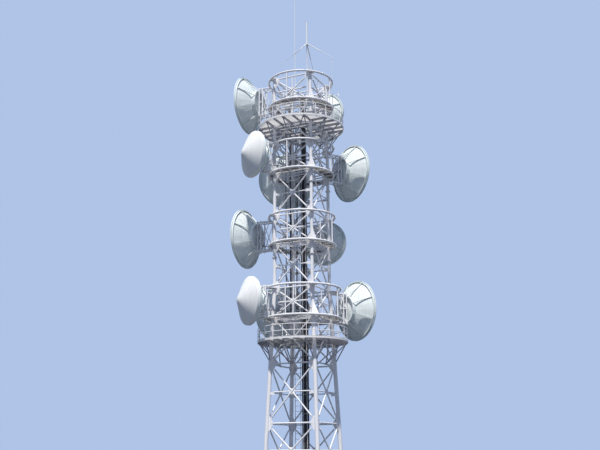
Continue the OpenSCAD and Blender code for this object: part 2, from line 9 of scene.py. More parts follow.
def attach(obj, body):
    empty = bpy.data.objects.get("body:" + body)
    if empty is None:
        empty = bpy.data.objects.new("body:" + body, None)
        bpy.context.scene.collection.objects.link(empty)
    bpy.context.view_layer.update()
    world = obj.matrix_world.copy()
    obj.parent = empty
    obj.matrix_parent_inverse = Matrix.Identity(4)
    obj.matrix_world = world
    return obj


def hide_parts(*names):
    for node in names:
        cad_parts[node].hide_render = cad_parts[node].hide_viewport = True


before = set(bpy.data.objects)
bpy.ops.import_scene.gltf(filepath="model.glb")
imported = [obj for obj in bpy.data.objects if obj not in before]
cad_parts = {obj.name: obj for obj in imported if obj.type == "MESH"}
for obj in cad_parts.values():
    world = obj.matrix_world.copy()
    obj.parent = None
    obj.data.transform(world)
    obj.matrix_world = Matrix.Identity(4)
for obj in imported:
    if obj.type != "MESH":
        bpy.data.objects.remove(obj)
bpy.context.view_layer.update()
scene = bpy.context.scene

# Camera. It stands a little above the ground, 56.6 m from the tower's axis, and looks up at 15 degrees,
# so that the near leg is the one at +X, -Y. The lens is the photograph's, for a picture 600 pixels wide.
AZIMUTH = math.radians(25.5)
PITCH = math.radians(15.1)
ROLL = math.radians(-0.45)
YAW = math.radians(0.127)
DISTANCE = 56.6
EYE_HEIGHT = 1.75
FOCAL_PX = 856.0
PICTURE_W = 600.0

camera_data = bpy.data.cameras.new("camera")
camera_data.sensor_width = 36.0
camera_data.lens = camera_data.sensor_width * FOCAL_PX / PICTURE_W
camera_data.clip_end = 2000.0
camera = bpy.data.objects.new("camera", camera_data)
scene.collection.objects.link(camera)
eye = Vector((DISTANCE * math.sin(AZIMUTH), -DISTANCE * math.cos(AZIMUTH), EYE_HEIGHT))
turn = (Matrix.Rotation(AZIMUTH + YAW, 4, "Z") @ Matrix.Rotation(math.pi / 2 + PITCH, 4, "X")
        @ Matrix.Rotation(ROLL, 4, "Z"))
camera.matrix_world = Matrix.Translation(eye) @ turn
scene.camera = camera


# Floor and light. A wide floor, pale to the camera and darker to the light that it throws back up, a high
# warm sun from over the eye, and a sky that the camera and reflections see pale and that lights at a plain level.
def around(count, start=0.0):
    """Evenly spaced angles of a full circle, the first one at a share of their pitch."""
    return 2 * np.pi * (np.arange(count) + start) / count


def rows_of(x, y, z=0.0):
    """Rows of three values, each given as one number or as an array."""
    return np.stack(np.broadcast_arrays(x, y, z), axis=-1)


def srgb(text):
    """Linear RGBA of an sRGB hex colour."""
    channels = np.array([int(text[i:i + 2], 16) for i in (1, 3, 5)]) / 255.0
    linear = np.where(channels <= 0.04045, channels / 12.92, ((channels + 0.055) / 1.055) ** 2.4)
    return (*linear.tolist(), 1.0)


def add_node(tree, kind, settings=None, **links):
    """Adds one shader node: settings are its properties or input values, links go from sockets to inputs."""
    made = tree.nodes.new("ShaderNode" + kind)
    for key, value in (settings or {}).items():
        if isinstance(key, str) and hasattr(made, key):
            setattr(made, key, value)
        else:
            made.inputs[key].default_value = value
    for key, source in links.items():
        name = int(key[1:]) if key[0] == "i" and key[1:].isdigit() else key.replace("_", " ")
        tree.links.new(source, made.inputs[name])
    return made


def new_material(name):
    """An empty node material and its tree."""
    material = bpy.data.materials.new(name)
    material.use_nodes = True
    material.node_tree.nodes.clear()
    return material, material.node_tree


floor_material, tree = new_material("studio_floor")
path = add_node(tree, "LightPath")
tone = add_node(tree, "Mix", {"data_type": "RGBA", 6: srgb("#50555b"), 7: srgb("#bdbcba")},
                i0=path.outputs["Is Camera Ray"])
shader = add_node(tree, "BsdfPrincipled", {"Roughness": 0.9}, Base_Color=tone.outputs[2])
add_node(tree, "OutputMaterial", Surface=shader.outputs["BSDF"])
FLOOR_R, FLOOR_SIDES = 900.0, 96
turn = around(FLOOR_SIDES)
floor_mesh = bpy.data.meshes.new("studio_floor")
floor_mesh.from_pydata((rows_of(np.cos(turn), np.sin(turn)) * FLOOR_R).tolist(), [], [range(FLOOR_SIDES)])
floor_mesh.materials.append(floor_material)
studio_floor = bpy.data.objects.new("studio_floor", floor_mesh)
scene.collection.objects.link(studio_floor)

world = bpy.data.worlds.new("studio_sky")
scene.world = world
world.use_nodes = True
tree = world.node_tree
tree.nodes.clear()
path = add_node(tree, "LightPath")
seen = add_node(tree, "Math", {"operation": "MAXIMUM"}, i0=path.outputs["Is Camera Ray"],
                i1=path.outputs["Is Glossy Ray"])
seen = add_node(tree, "Math", {"operation": "MAXIMUM"}, i0=seen.outputs[0],
                i1=path.outputs["Is Transmission Ray"])
light = add_node(tree, "Background", {"Color": srgb("#bcd2fb"), "Strength": 0.48})
backdrop = add_node(tree, "Background", {"Color": srgb("#afc4e7"), "Strength": 1.0})
mixed = add_node(tree, "MixShader", None, i0=seen.outputs[0], i1=light.outputs[0],
                 i2=backdrop.outputs[0])
add_node(tree, "OutputWorld", Surface=mixed.outputs[0])

sun_data = bpy.data.lights.new("sun", "SUN")
sun_data.energy = 4.1
sun_data.angle = math.radians(2)
sun_data.color = (1.0, 0.97, 0.92)
sun = bpy.data.objects.new("sun", sun_data)
SUN_AZIMUTH = math.radians(18)
SUN_HEIGHT = math.radians(61)
sun_from = Vector((math.sin(SUN_AZIMUTH) * math.cos(SUN_HEIGHT), -math.cos(SUN_AZIMUTH) * math.cos(SUN_HEIGHT),
                   math.sin(SUN_HEIGHT)))
sun.rotation_euler = (-sun_from).to_track_quat("-Z", "Y").to_euler()
scene.collection.objects.link(sun)
scene.view_settings.view_transform = "Standard"


# Paint. Everything of steel that is not galvanised has a white two-pack paint with a faint lavender cast,
# sprayed over a zinc coat. It has grown matt, with dust, rain streaks down it and a little rust at edges.
def weathered_paint(name, slot, colour, shade, grime, roughness, streak_m=0.05, grime_share=0.45, rust_share=0.0,
                    rust="#8a6350", through=0.0):
    """A material and the slot it fills: paint whose colour drifts between two tones, with grime in streaks
    down Z and specks of rust. A share of the light goes through where the real thing is perforated sheet."""
    material, tree = new_material(name)
    place = add_node(tree, "TexCoord")
    drift = add_node(tree, "TexNoise", {"Scale": 1.3, "Detail": 4.0}, Vector=place.outputs["Object"])
    tone = add_node(tree, "Mix", {"data_type": "RGBA", 6: srgb(colour), 7: srgb(shade)},
                    i0=drift.outputs["Fac"])
    down = add_node(tree, "Mapping", {"Scale": (1 / streak_m, 1 / streak_m, 0.9)},
                    Vector=place.outputs["Object"])
    streaks = add_node(tree, "TexNoise", {"Scale": 1.0, "Detail": 5.0, "Roughness": 0.6},
                       Vector=down.outputs[0])
    amount = add_node(tree, "MapRange", {"From Min": 0.5, "From Max": 0.78, "To Max": grime_share},
                      Value=streaks.outputs["Fac"])
    dirty = add_node(tree, "Mix", {"data_type": "RGBA", 7: srgb(grime)}, i0=amount.outputs[0],
                     i6=tone.outputs[2])
    specks = add_node(tree, "TexNoise", {"Scale": 9.0, "Detail": 6.0, "Roughness": 0.7},
                      Vector=place.outputs["Object"])
    bare = add_node(tree, "MapRange", {"From Min": 0.64, "From Max": 0.72, "To Max": rust_share},
                    Value=specks.outputs["Fac"])
    stained = add_node(tree, "Mix", {"data_type": "RGBA", 7: srgb(rust)}, i0=bare.outputs[0],
                       i6=dirty.outputs[2])
    matt = add_node(tree, "MapRange", {"To Min": roughness - 0.08, "To Max": roughness + 0.14},
                    Value=streaks.outputs["Fac"])
    grain = add_node(tree, "TexNoise", {"Scale": 55.0, "Detail": 2.0}, Vector=place.outputs["Object"])
    relief = add_node(tree, "Bump", {"Strength": 0.12, "Distance": 0.002}, Height=grain.outputs["Fac"])
    shader = add_node(tree, "BsdfPrincipled", None, Base_Color=stained.outputs[2],
                      Roughness=matt.outputs[0], Normal=relief.outputs[0])
    surface = shader.outputs["BSDF"]
    if through:
        glow = add_node(tree, "BsdfTranslucent", None, Color=stained.outputs[2])
        surface = add_node(tree, "MixShader", {0: through}, i1=surface, i2=glow.outputs[0]).outputs[0]
    add_node(tree, "OutputMaterial", Surface=surface)
    return material, slot


tower_paint = weathered_paint("white_tower_paint", "painted_steel", "#f6f5f6", "#e9e9ee", "#aaa79f", 0.5,
                              grime_share=0.4, rust_share=0.35)
# Painted shade: the platform beams and knees get a darker grey than the white pipes, standing for the shade they lie
# in from below.
platform_shade_paint = weathered_paint("painted_shade_platform_grey", "painted_steel", "#bfbfc6", "#a6a6ae", "#75726e", 0.6,
                                 rust_share=0.5)
deck_paint = weathered_paint("perforated_deck_plate", "deck_plate", "#edebe8", "#e1e0e0", "#b6b3ae", 0.7,
                             rust_share=0.35, through=0.8)
grating_zinc = weathered_paint("weathered_grating", "grating", "#8f8a86", "#7b7672", "#57504a", 0.65,
                               rust_share=0.5)
dish_paint = weathered_paint("dish_paint", "dish_paint", "#eff5f4", "#e3ebeb", "#b9c2c0", 0.5, streak_m=0.12)
radome_paint = weathered_paint("radome_laminate", "radome", "#f6f6f4", "#eeefee", "#cfd0cb", 0.55, streak_m=0.2)
zinc = weathered_paint("galvanised_steel", "galvanised_steel", "#c9cbcf", "#b4b7bc", "#8f9090", 0.42)
jacket = weathered_paint("cable_jacket", "cable_jacket", "#35353d", "#27272e", "#5b5a5e", 0.62, streak_m=0.5,
                         grime_share=0.7)
antenna_metal = weathered_paint("antenna_aluminium", "antenna_metal", "#f2f3f5", "#e6e8ec", "#b8b8b6", 0.42)
lamp_glass = weathered_paint("frosted_lamp_glass", "radome", "#f1e9e4", "#e6dcd6", "#cfc8c0", 0.25, through=0.5)

# A node gets the first finish whose key starts its name.
FINISHES = {"gallery_floor": grating_zinc, "lower_deck": deck_paint, "upper_deck": deck_paint,
            "dish_mounts": tower_paint, "dish_": dish_paint, "flat_covers": radome_paint,
            "cone_radomes": radome_paint, "ladder": zinc, "cable_tray": zinc, "waveguides": jacket,
            "ground_plane": antenna_metal, "long_whip": antenna_metal, "short_whip": antenna_metal,
            "": tower_paint}


for name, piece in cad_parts.items():
    material, slot = next(finish for key, finish in FINISHES.items() if name.startswith(key))
    piece.data.materials.clear()
    piece.data.materials.append(material)


# Bracing. Steel pipes closed at their ends, each with a flat tongue welded in and bolted to a gusset.
# Crossed diagonals share a centre plate. A gallery has an upright strut in it, an open panel a level one.
WAIST, PANEL, GALLERY, FOOT = 7.5, 3.0, 2.0, 0.32
TOP_HALF, BASE_HALF, LEG_R, LOW_LEG_R = 1.38, 1.885, 0.108, 0.1335
UP = np.array([0, 0, 1.0])
gallery_levels = WAIST + PANEL + np.arange(4) * (GALLERY + PANEL)
pipe_levels = [FOOT, WAIST / 2, WAIST, *(level + step for level in gallery_levels for step in (0, GALLERY))]
BATTER_TOP = gallery_levels[0] + GALLERY
CROWN = gallery_levels[-1] + GALLERY
BATTER = math.atan((BASE_HALF - TOP_HALF) / BATTER_TOP)
BAR_R, STRUT_R = 0.050, 0.038
DIAGONAL_TRIM, LEVEL_TRIM, CROSS_PLATE, CROSS_GAP = 0.560, 0.420, 0.230, 0.095
GUSSET_T, TONGUE_T, TONGUE_L, TONGUE_W = 0.014, 0.012, 0.230, 0.084
BOLT_R, BOLT_H, SEAT, JUST_BELOW = 0.018, 0.014, 0.0003, 1e-4


def unit(vectors):
    """Each vector divided by its own length."""
    return vectors / np.linalg.norm(vectors, axis=-1, keepdims=True)


def facing(azimuth):
    """The level directions out and sideways at an azimuth in degrees, which turns from -Y towards +X."""
    angle = math.radians(azimuth)
    return np.array([math.sin(angle), -math.cos(angle), 0]), np.array([math.cos(angle), math.sin(angle), 0])


def bar_faces(rings, sides, count=1):
    """Faces of closed bars, each of so many rings of points: walls from ring to ring and a cap at both ends."""
    first = np.arange(count)[:, None] * rings * sides
    low = (first + np.arange(rings - 1) * sides).reshape(-1, 1)
    i = np.arange(sides)
    j = (i + 1) % sides
    walls = np.stack([low + i, low + j, low + sides + j, low + sides + i], axis=-1).reshape(-1, 4)
    return [walls, first + i[::-1], first + (rings - 1) * sides + i]


def tube_mesh(starts, ends, radii, sides=16, end_radii=None):
    """Straight closed tubes: at share t of the length and angle a, a point is
    start + t (end - start) + radius (cos a u + sin a v), where u and v are square to the tube."""
    starts, ends = np.atleast_2d(starts).astype(float), np.atleast_2d(ends).astype(float)
    count = len(starts)
    axis = unit(ends - starts)
    u = unit(np.cross(np.where(np.abs(axis[:, 2:]) < 0.9, [[0, 0, 1.0]], [[1.0, 0, 0]]), axis))
    v = np.cross(axis, u)
    angle = around(sides, 0.5)
    circle = np.cos(angle)[None, :, None] * u[:, None] + np.sin(angle)[None, :, None] * v[:, None]
    first = np.broadcast_to(radii, count)[:, None, None]
    last = first if end_radii is None else np.broadcast_to(end_radii, count)[:, None, None]
    points = np.stack([starts[:, None] + first * circle, ends[:, None] + last * circle], axis=1).reshape(-1, 3)
    return [(points, bar_faces(2, sides, count))]


def bolt_heads(places, axis, radius=BOLT_R, height=BOLT_H):
    """Hexagonal heads that stand on a surface at the places, along an axis."""
    return tube_mesh(places, places + axis * height, radius, 6)


def collars(places, half, radius, sides=16):
    """Short upright tubes round the places, half above and half below them."""
    return tube_mesh(places - UP * half, places + UP * half, radius, sides)


def block_mesh(centres, sizes, along=(1, 0, 0), up=UP):
    """Rectangular blocks: each corner is the centre, plus or minus half the length along, half the width
    across and half the height up."""
    centres = np.atleast_2d(centres).astype(float)
    count = len(centres)
    along, up = unit(np.broadcast_to(along, (count, 3)) * 1.0), unit(np.broadcast_to(up, (count, 3)) * 1.0)
    across = np.cross(up, along)
    half = np.broadcast_to(sizes, (count, 3)) / 2
    signs = np.array([(x, y, z) for z in (-1, 1) for x, y in ((-1, -1), (1, -1), (1, 1), (-1, 1))])
    points = (centres[:, None] + signs[None, :, 0:1] * (half[:, 0:1] * along)[:, None]
              + signs[None, :, 1:2] * (half[:, 1:2] * across)[:, None]
              + signs[None, :, 2:3] * (half[:, 2:3] * up)[:, None]).reshape(-1, 3)
    faces = np.array([(3, 2, 1, 0), (4, 5, 6, 7), (0, 1, 5, 4), (1, 2, 6, 5), (2, 3, 7, 6), (3, 0, 4, 7)])
    return [(points, [(np.arange(count)[:, None, None] * 8 + faces).reshape(-1, 4)])]


def plate_mesh(outline, thickness, place, along, up):
    """A flat plate: its outline's points in the plane of along and up, plus and minus half its thickness."""
    outline = np.asarray(outline, float)
    along, up = unit(np.asarray(along, float)), unit(np.asarray(up, float))
    off = np.cross(along, up) * thickness / 2
    flat = place + outline[:, :1] * along + outline[:, 1:] * up
    return [(np.concatenate([flat - off, flat + off]), bar_faces(2, len(outline)))]


def quarter_turned(parts, quarter):
    """The same parts turned by quarter turns about the tower's axis."""
    c, s = [(1, 0), (0, 1), (-1, 0), (0, -1)][quarter % 4]
    turn = np.array([[c, s, 0], [-s, c, 0], [0, 0, 1.0]])
    return [(points @ turn, faces) for points, faces in parts]


def four_sides(parts):
    """The parts of one face and the same parts turned to the other three."""
    return [part for quarter in range(4) for part in quarter_turned(parts, quarter)]


def make_piece(name, parts, finish, replaced=()):
    """Joins parts, each its points and its rows of faces, into one piece that rides on the tower. A finish is
    a material."""
    faces, start = [], 0
    for points, groups in parts:
        for rows in groups:
            faces += (rows + start).tolist()
        start += len(points)
    mesh = bpy.data.meshes.new(name)
    mesh.from_pydata(np.concatenate([points for points, groups in parts]).tolist(), [], faces)
    shape = bmesh.new()
    shape.from_mesh(mesh)
    bmesh.ops.recalc_face_normals(shape, faces=shape.faces)
    shape.to_mesh(mesh)
    shape.free()
    mesh.set_sharp_from_angle(angle=math.radians(32))
    mesh.materials.append(finish[0])
    piece = bpy.data.objects.new(name, mesh)
    scene.collection.objects.link(piece)
    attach(piece, "root")
    if replaced:
        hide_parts(*replaced)


def half_at(z):
    """Half the distance between the legs: constant above the lowest gallery, growing evenly below it."""
    return TOP_HALF + np.maximum(0.0, BATTER_TOP - z) * math.tan(BATTER)


def on_face(x, z, off=0.0):
    """A point of the front face's work plane at a height, moved off the face by a distance square to it."""
    tilt = BATTER if z < BATTER_TOP - 1e-6 else 0.0
    return np.array([x, -half_at(z) - off * math.cos(tilt), z + off * math.sin(tilt)])


def panel_bars(z0, z1, gallery):
    """The bars of one panel, as rows of start, end, radius, trims at both ends, and tongues at both ends."""
    x0, x1 = half_at(z0), half_at(z1)
    mid = z0 + (z1 - z0) * x0 / (x0 + x1)
    centre = on_face(0, mid)
    high = z1 - JUST_BELOW
    rows = [(on_face(-x0, z0), on_face(x1, high), BAR_R, DIAGONAL_TRIM, DIAGONAL_TRIM, True, True),
            (on_face(x0, z0), centre, BAR_R, DIAGONAL_TRIM, CROSS_GAP, True, False),
            (on_face(-x1, high), centre, BAR_R, DIAGONAL_TRIM, CROSS_GAP, True, False)]
    if gallery:
        rows += [(on_face(0, z), centre, STRUT_R, BAR_R, CROSS_PLATE * 0.6, False, False) for z in (z0, high)]
    reach = (x0 + x1) / 2
    rows += [(on_face(side * reach, mid), centre, BAR_R if gallery else STRUT_R, LEVEL_TRIM, CROSS_PLATE * 0.7,
              True, False) for side in (-1, 1)]
    return rows, mid


bars, plates = [], []
for z0, z1 in zip(pipe_levels[:-1], pipe_levels[1:]):
    rows, mid = panel_bars(z0, z1, z0 in gallery_levels)
    bars += rows
    plates.append(mid)
bars += [(on_face(-half_at(z), z), on_face(half_at(z), z), BAR_R, LEVEL_TRIM, LEVEL_TRIM, True, True)
         for z in pipe_levels[1:]]
starts, ends, radii, trim_start, trim_end, at_start, at_end = (np.array(column) for column in zip(*bars))
run = unit(ends - starts)
tube_start, tube_end = starts + run * trim_start[:, None], ends - run * trim_end[:, None]
inward = np.where((starts[:, 2:] + ends[:, 2:]) / 2 < BATTER_TOP, [[0, math.cos(BATTER), -math.sin(BATTER)]],
                  [[0, 1.0, 0]])
tongue_at = np.concatenate([tube_start[at_start], tube_end[at_end]])
tongue_run = np.concatenate([-run[at_start], run[at_end]])
tongue_in = np.concatenate([inward[at_start], inward[at_end]])
face_parts = tube_mesh(tube_start, tube_end, radii)
face_parts += block_mesh(tongue_at + tongue_in * (GUSSET_T + TONGUE_T + 2 * SEAT) / 2,
                         (TONGUE_L, TONGUE_W, TONGUE_T), tongue_run, tongue_in)
across = np.cross(tongue_in, tongue_run)
for step in (0.035, 0.085):
    for side in (-1, 1):
        hole = tongue_at + tongue_run * step + across * side * TONGUE_W * 0.27
        face_parts += bolt_heads(hole - tongue_in * GUSSET_T / 2, -tongue_in)
        face_parts += bolt_heads(hole + tongue_in * (GUSSET_T / 2 + TONGUE_T), tongue_in)
for mid in plates:
    outline = [(side * CROSS_PLATE * (0.5 if abs(step) == 1 else 1), side * step * CROSS_PLATE * 0.8)
               for side in (-1, 1) for step in (-1, -0.4, 0.4, 1)]
    tilt = BATTER if mid < BATTER_TOP else 0.0
    face_parts += plate_mesh(outline, GUSSET_T, on_face(0, mid), (1, 0, 0), (0, math.sin(tilt), math.cos(tilt)))
for quarter, side in enumerate(("front", "right", "back", "left")):
    make_piece(f"{side}_bracing_pipes", quarter_turned(face_parts, quarter), tower_paint, [f"bracing_{side}"])


# Reflectors. Spun aluminium sheet in petals, painted, with a rolled rim channel, a hub drum behind and eight
# straight struts from the drum to the rim. The petals are riveted together over thin back ribs.
DISH_AZIMUTHS = (151, -137.5, -38, -88.5, 178.5, 149.5, -139.5, -34.5, -87, 177.5)
DISH_LEVELS = (0, 0, 0, 1, 1, 2, 2, 2, 3, 3)
HUB_REACHES = (0.935, 0.875, 0.345, 0.975, 0.555, 0.965, 0.975, 0.555, 0.855, 0.555)
LARGE_DISHES = (0, 1, 3, 5, 6, 8)
LARGE_RIM, SMALL_RIM, RIM_W, COLLAR_L, SHELL_T = 2.1, 1.6, 0.09, 0.17, 0.022
RING_R, LOW_RING_R, RING_TUBE_R = 2.25, 2.55, 0.07
HUB_BACK, HUB_WALL, STRUT_W, STRUT_T = 0.1, 0.04, 0.08, 0.045
LIP_DEPTH, LIP_T, PETALS, SEAM_R, STRUTS, RIM_BOLTS = 0.07, 0.012, 24, 0.005, 8, 48
HUB_SHARE, HUB_LIP, BACK_LIP, PLATE_T, RIM_BOLT_R = 0.44, 0.05, 0.035, 0.008, 0.009


def spokes(angle, side):
    """Upright unit vectors at angles from a sideways direction."""
    return np.cos(angle)[:, None] * side + np.sin(angle)[:, None] * UP


def lathe_mesh(profile, place, side, up, out, segments=96):
    """A turned surface: at angle a a point is place + radius (cos a side + sin a up) + height out. The profile's
    [radius, height] rows close on themselves, or begin and end on the axis."""
    profile = np.asarray(profile, float)
    on_axis = profile[0, 0] == 0
    rows = profile[1:-1] if on_axis else profile
    angle = around(segments)
    rays = np.cos(angle)[:, None] * side + np.sin(angle)[:, None] * up
    points = (place + rows[:, 0, None, None] * rays + rows[:, 1, None, None] * out).reshape(-1, 3)
    i = np.arange(segments)
    j = (i + 1) % segments
    low = np.arange(len(rows) - 1 if on_axis else len(rows))[:, None] * segments
    high = (low + segments) % len(points)
    faces = [np.stack([low + i, low + j, high + j, high + i], axis=-1).reshape(-1, 4)]
    if on_axis:
        poles = place + profile[[0, -1], 1, None] * out
        first, last = len(points), len(points) + 1
        top = len(points) - segments
        points = np.concatenate([points, poles])
        faces += [np.stack([np.full(segments, first), j, i], axis=-1),
                  np.stack([top + i, top + j, np.full(segments, last)], axis=-1)]
    return [(points, faces)]


def hoop_mesh(profile, segments=144):
    """A surface turned about the tower's axis."""
    return lathe_mesh(profile, np.zeros(3), np.array([1.0, 0, 0]), np.array([0, 1.0, 0]), UP, segments)


def swept_mesh(path, radius, sides=8):
    """A round bar along a path: each ring lies square to the path, and its first direction is the last
    ring's, carried on with the least twist. Both ends are closed."""
    path = np.asarray(path, float)
    along = unit(np.gradient(path, axis=0))
    u = unit(np.cross(along[0], UP if abs(along[0, 2]) < 0.9 else np.array([1.0, 0, 0])))
    angle = around(sides)
    rings = []
    for place, way in zip(path, along):
        u = unit(u - way * (u @ way))
        rings.append(place + radius * (np.cos(angle)[:, None] * u + np.sin(angle)[:, None] * np.cross(way, u)))
    return [(np.concatenate(rings), bar_faces(len(path), sides))]


def dish_place(n):
    """A dish's vertex, its sideways and outward directions, its rim and reflector radius and its depth."""
    out, side = facing(DISH_AZIMUTHS[n])
    rim = LARGE_RIM if n in LARGE_DISHES else SMALL_RIM
    ring = (RING_R if DISH_LEVELS[n] else LOW_RING_R) + RING_TUBE_R
    vertex = out * (ring + HUB_REACHES[n] + HUB_BACK) + UP * (gallery_levels[DISH_LEVELS[n]] + GALLERY / 2)
    return vertex, side, out, rim, rim - RIM_W, (rim - RIM_W) / 2


for n in range(len(DISH_AZIMUTHS)):
    vertex, side, out, rim, reflector, depth = dish_place(n)
    share = np.linspace(0, 1, 25)
    back = np.stack([(reflector - SHELL_T) * share, depth * (share * (1 - SHELL_T / reflector)) ** 2 - SHELL_T],
                    axis=1)
    front = np.stack([reflector * share[::-1], depth * share[::-1] ** 2], axis=1)
    edge = [(reflector - SHELL_T, depth - COLLAR_L), (reflector + SHELL_T, depth - COLLAR_L),
            (reflector + SHELL_T, depth - SHELL_T), (rim - LIP_T, depth - SHELL_T), (rim - LIP_T, depth - LIP_DEPTH),
            (rim, depth - LIP_DEPTH), (rim, depth - 0.006), (rim - 0.006, depth)]
    parts = lathe_mesh(np.concatenate([back, edge, front]), vertex, side, UP, out, 128)
    hub = rim * HUB_SHARE
    drum_top = depth * (hub / reflector) ** 2 - SHELL_T / 2
    drum = [(hub - HUB_WALL, -HUB_BACK), (hub + HUB_LIP, -HUB_BACK), (hub + HUB_LIP, LIP_T - HUB_BACK),
            (hub, LIP_T - HUB_BACK), (hub, drum_top), (hub + BACK_LIP, drum_top + LIP_T),
            (hub - HUB_WALL, drum_top - 0.02)]
    parts += lathe_mesh(drum, vertex, side, UP, out, 96)
    spoke = spokes(around(STRUTS, 0.5), side)
    foot = vertex + spoke * (hub - HUB_WALL / 2) + out * (STRUT_T / 2 - HUB_BACK)
    tip = vertex + spoke * reflector + out * (depth - COLLAR_L / 2 - STRUT_T / 2)
    run = tip - foot
    lie = unit(np.cross(np.cross(run, out), run))
    breadth = np.cross(lie, unit(run))
    lengths = np.linalg.norm(run, axis=1)
    middle = (foot + tip) / 2
    parts += block_mesh(middle - lie * STRUT_T / 2, rows_of(lengths, STRUT_W, PLATE_T), run, lie)
    for edge in (-1, 1):
        parts += block_mesh(middle + edge * breadth * (STRUT_W - PLATE_T) / 2,
                            rows_of(lengths, PLATE_T, STRUT_T), run, lie)
    for end, into in ((foot, 0.14), (tip, -0.12)):
        for step in (0.3, 0.75):
            parts += bolt_heads(end + unit(run) * into * step - lie * (STRUT_T + PLATE_T) / 2, -lie)
    for ray in spokes(around(PETALS, 0.5), side):
        r = np.linspace(hub + 0.04, reflector - 0.06, 9)
        seam = vertex + r[:, None] * ray + (depth * (r / reflector) ** 2 - SHELL_T - 0.002)[:, None] * out
        parts += swept_mesh(seam, SEAM_R, 4)
    hole = vertex + spokes(around(RIM_BOLTS), side) * (rim - RIM_W * 0.44) + out * (depth - SHELL_T)
    parts += bolt_heads(hole, -out, RIM_BOLT_R, RIM_BOLT_R)
    make_piece(f"reflector_{n + 1}", parts, dish_paint, [f"dish_{n + 1}"])


# Covers. A large dish has a stretched flat cover of coated cloth with a stiff hem. A small one has a moulded
# cone of glass laminate with a straight band round it, clipped to the rim, and a blunt tip.
CONE_H, CONE_BAND, COVER_T, COVER_INSET, CLIPS, CLIP_R = 0.95, 0.13, 0.012, 0.004, 36, 0.014
flat_parts, cone_parts = [], []
for n in range(len(DISH_AZIMUTHS)):
    vertex, side, out, rim, reflector, depth = dish_place(n)
    large = n in LARGE_DISHES
    r = rim - COVER_INSET
    base = vertex + out * (depth + SEAT)
    if large:
        profile = [(0, 0), (r, 0), (r, COVER_T), (r - 0.05, COVER_T), (r - 0.062, COVER_T - 0.006),
                   (0, COVER_T - 0.006)]
    else:
        slope = (CONE_H - CONE_BAND) / r
        tip = r * 0.12
        blunt = np.linspace(tip, 0, 7)
        nose = np.stack([blunt, CONE_H - slope * tip * (0.64 + 0.36 * (blunt / tip) ** 2)], axis=1)
        shoulder = [(r, 0), (r, CONE_BAND - 0.03), (r - 0.003, CONE_BAND - 0.012), (r - 0.014, CONE_BAND),
                    (r - 0.04, CONE_BAND + 0.04 * slope)]
        inside = [(0, nose[-1, 1] - COVER_T), (tip, nose[0, 1] - COVER_T * 1.2),
                  (r - COVER_T, CONE_BAND - COVER_T / 2), (r - COVER_T, 0)]
        profile = np.concatenate([inside, shoulder, nose])
    parts = flat_parts if large else cone_parts
    parts += lathe_mesh(profile, base, side, UP, out, 128)
    ray = spokes(around(CLIPS), side)
    way = out if large else ray
    clip = base + (ray * (r - 0.025) + out * COVER_T if large else ray * r + out * 0.05)
    parts += tube_mesh(clip - 0.002 * way, clip + 0.004 * way, CLIP_R, 8)
make_piece("stretched_covers", flat_parts, radome_paint, ["flat_covers"])
make_piece("moulded_radomes", cone_parts, radome_paint, ["cone_radomes"])


# Dish mounts. Welded pipe boxes, two posts deep and two wide, whose arms end in saddle plates held on the
# gallery's rings by U-bolts. Four stays steady each dish from its box.
LARGE_FRAME, SMALL_FRAME, FRAME_R, SADDLE_T, SADDLE_W = (0.7, 0.35), (0.56, 0.2), 0.045, 0.016, 0.12
U_BOLT_R, NUT_R, NUT_H, STAY_R, STAY_SHARE, STAY_TURN = 0.008, 0.014, 0.013, 0.02, 0.6, 3 * math.pi / 8


def ring_radius(level):
    """The radius of a gallery's rings to the middle of their pipe: the lowest gallery is wider."""
    return RING_R if level else LOW_RING_R


def chord(radius, aside):
    """Half a chord of a circle, at a distance aside of its middle, or zero where that lies outside."""
    return np.sqrt(np.maximum(0.0, radius ** 2 - aside ** 2))


def u_bolt_path(place, out, end, ring_at, way):
    """A U-bolt's line round a ring's pipe: its bend is at angle a at ring_at + way R cos a outwards and R sin a
    upwards, where R is the pipe's and the bolt's radius together, and both ends are at the distance end."""
    angle = np.linspace(-math.pi / 2, math.pi / 2, 9)
    bend = RING_TUBE_R + U_BOLT_R
    reach = np.concatenate([[end], ring_at + way * bend * np.cos(angle), [end]])
    height = bend * np.concatenate([[-1], np.sin(angle), [1]])
    return place + reach[:, None] * out + height[:, None] * UP


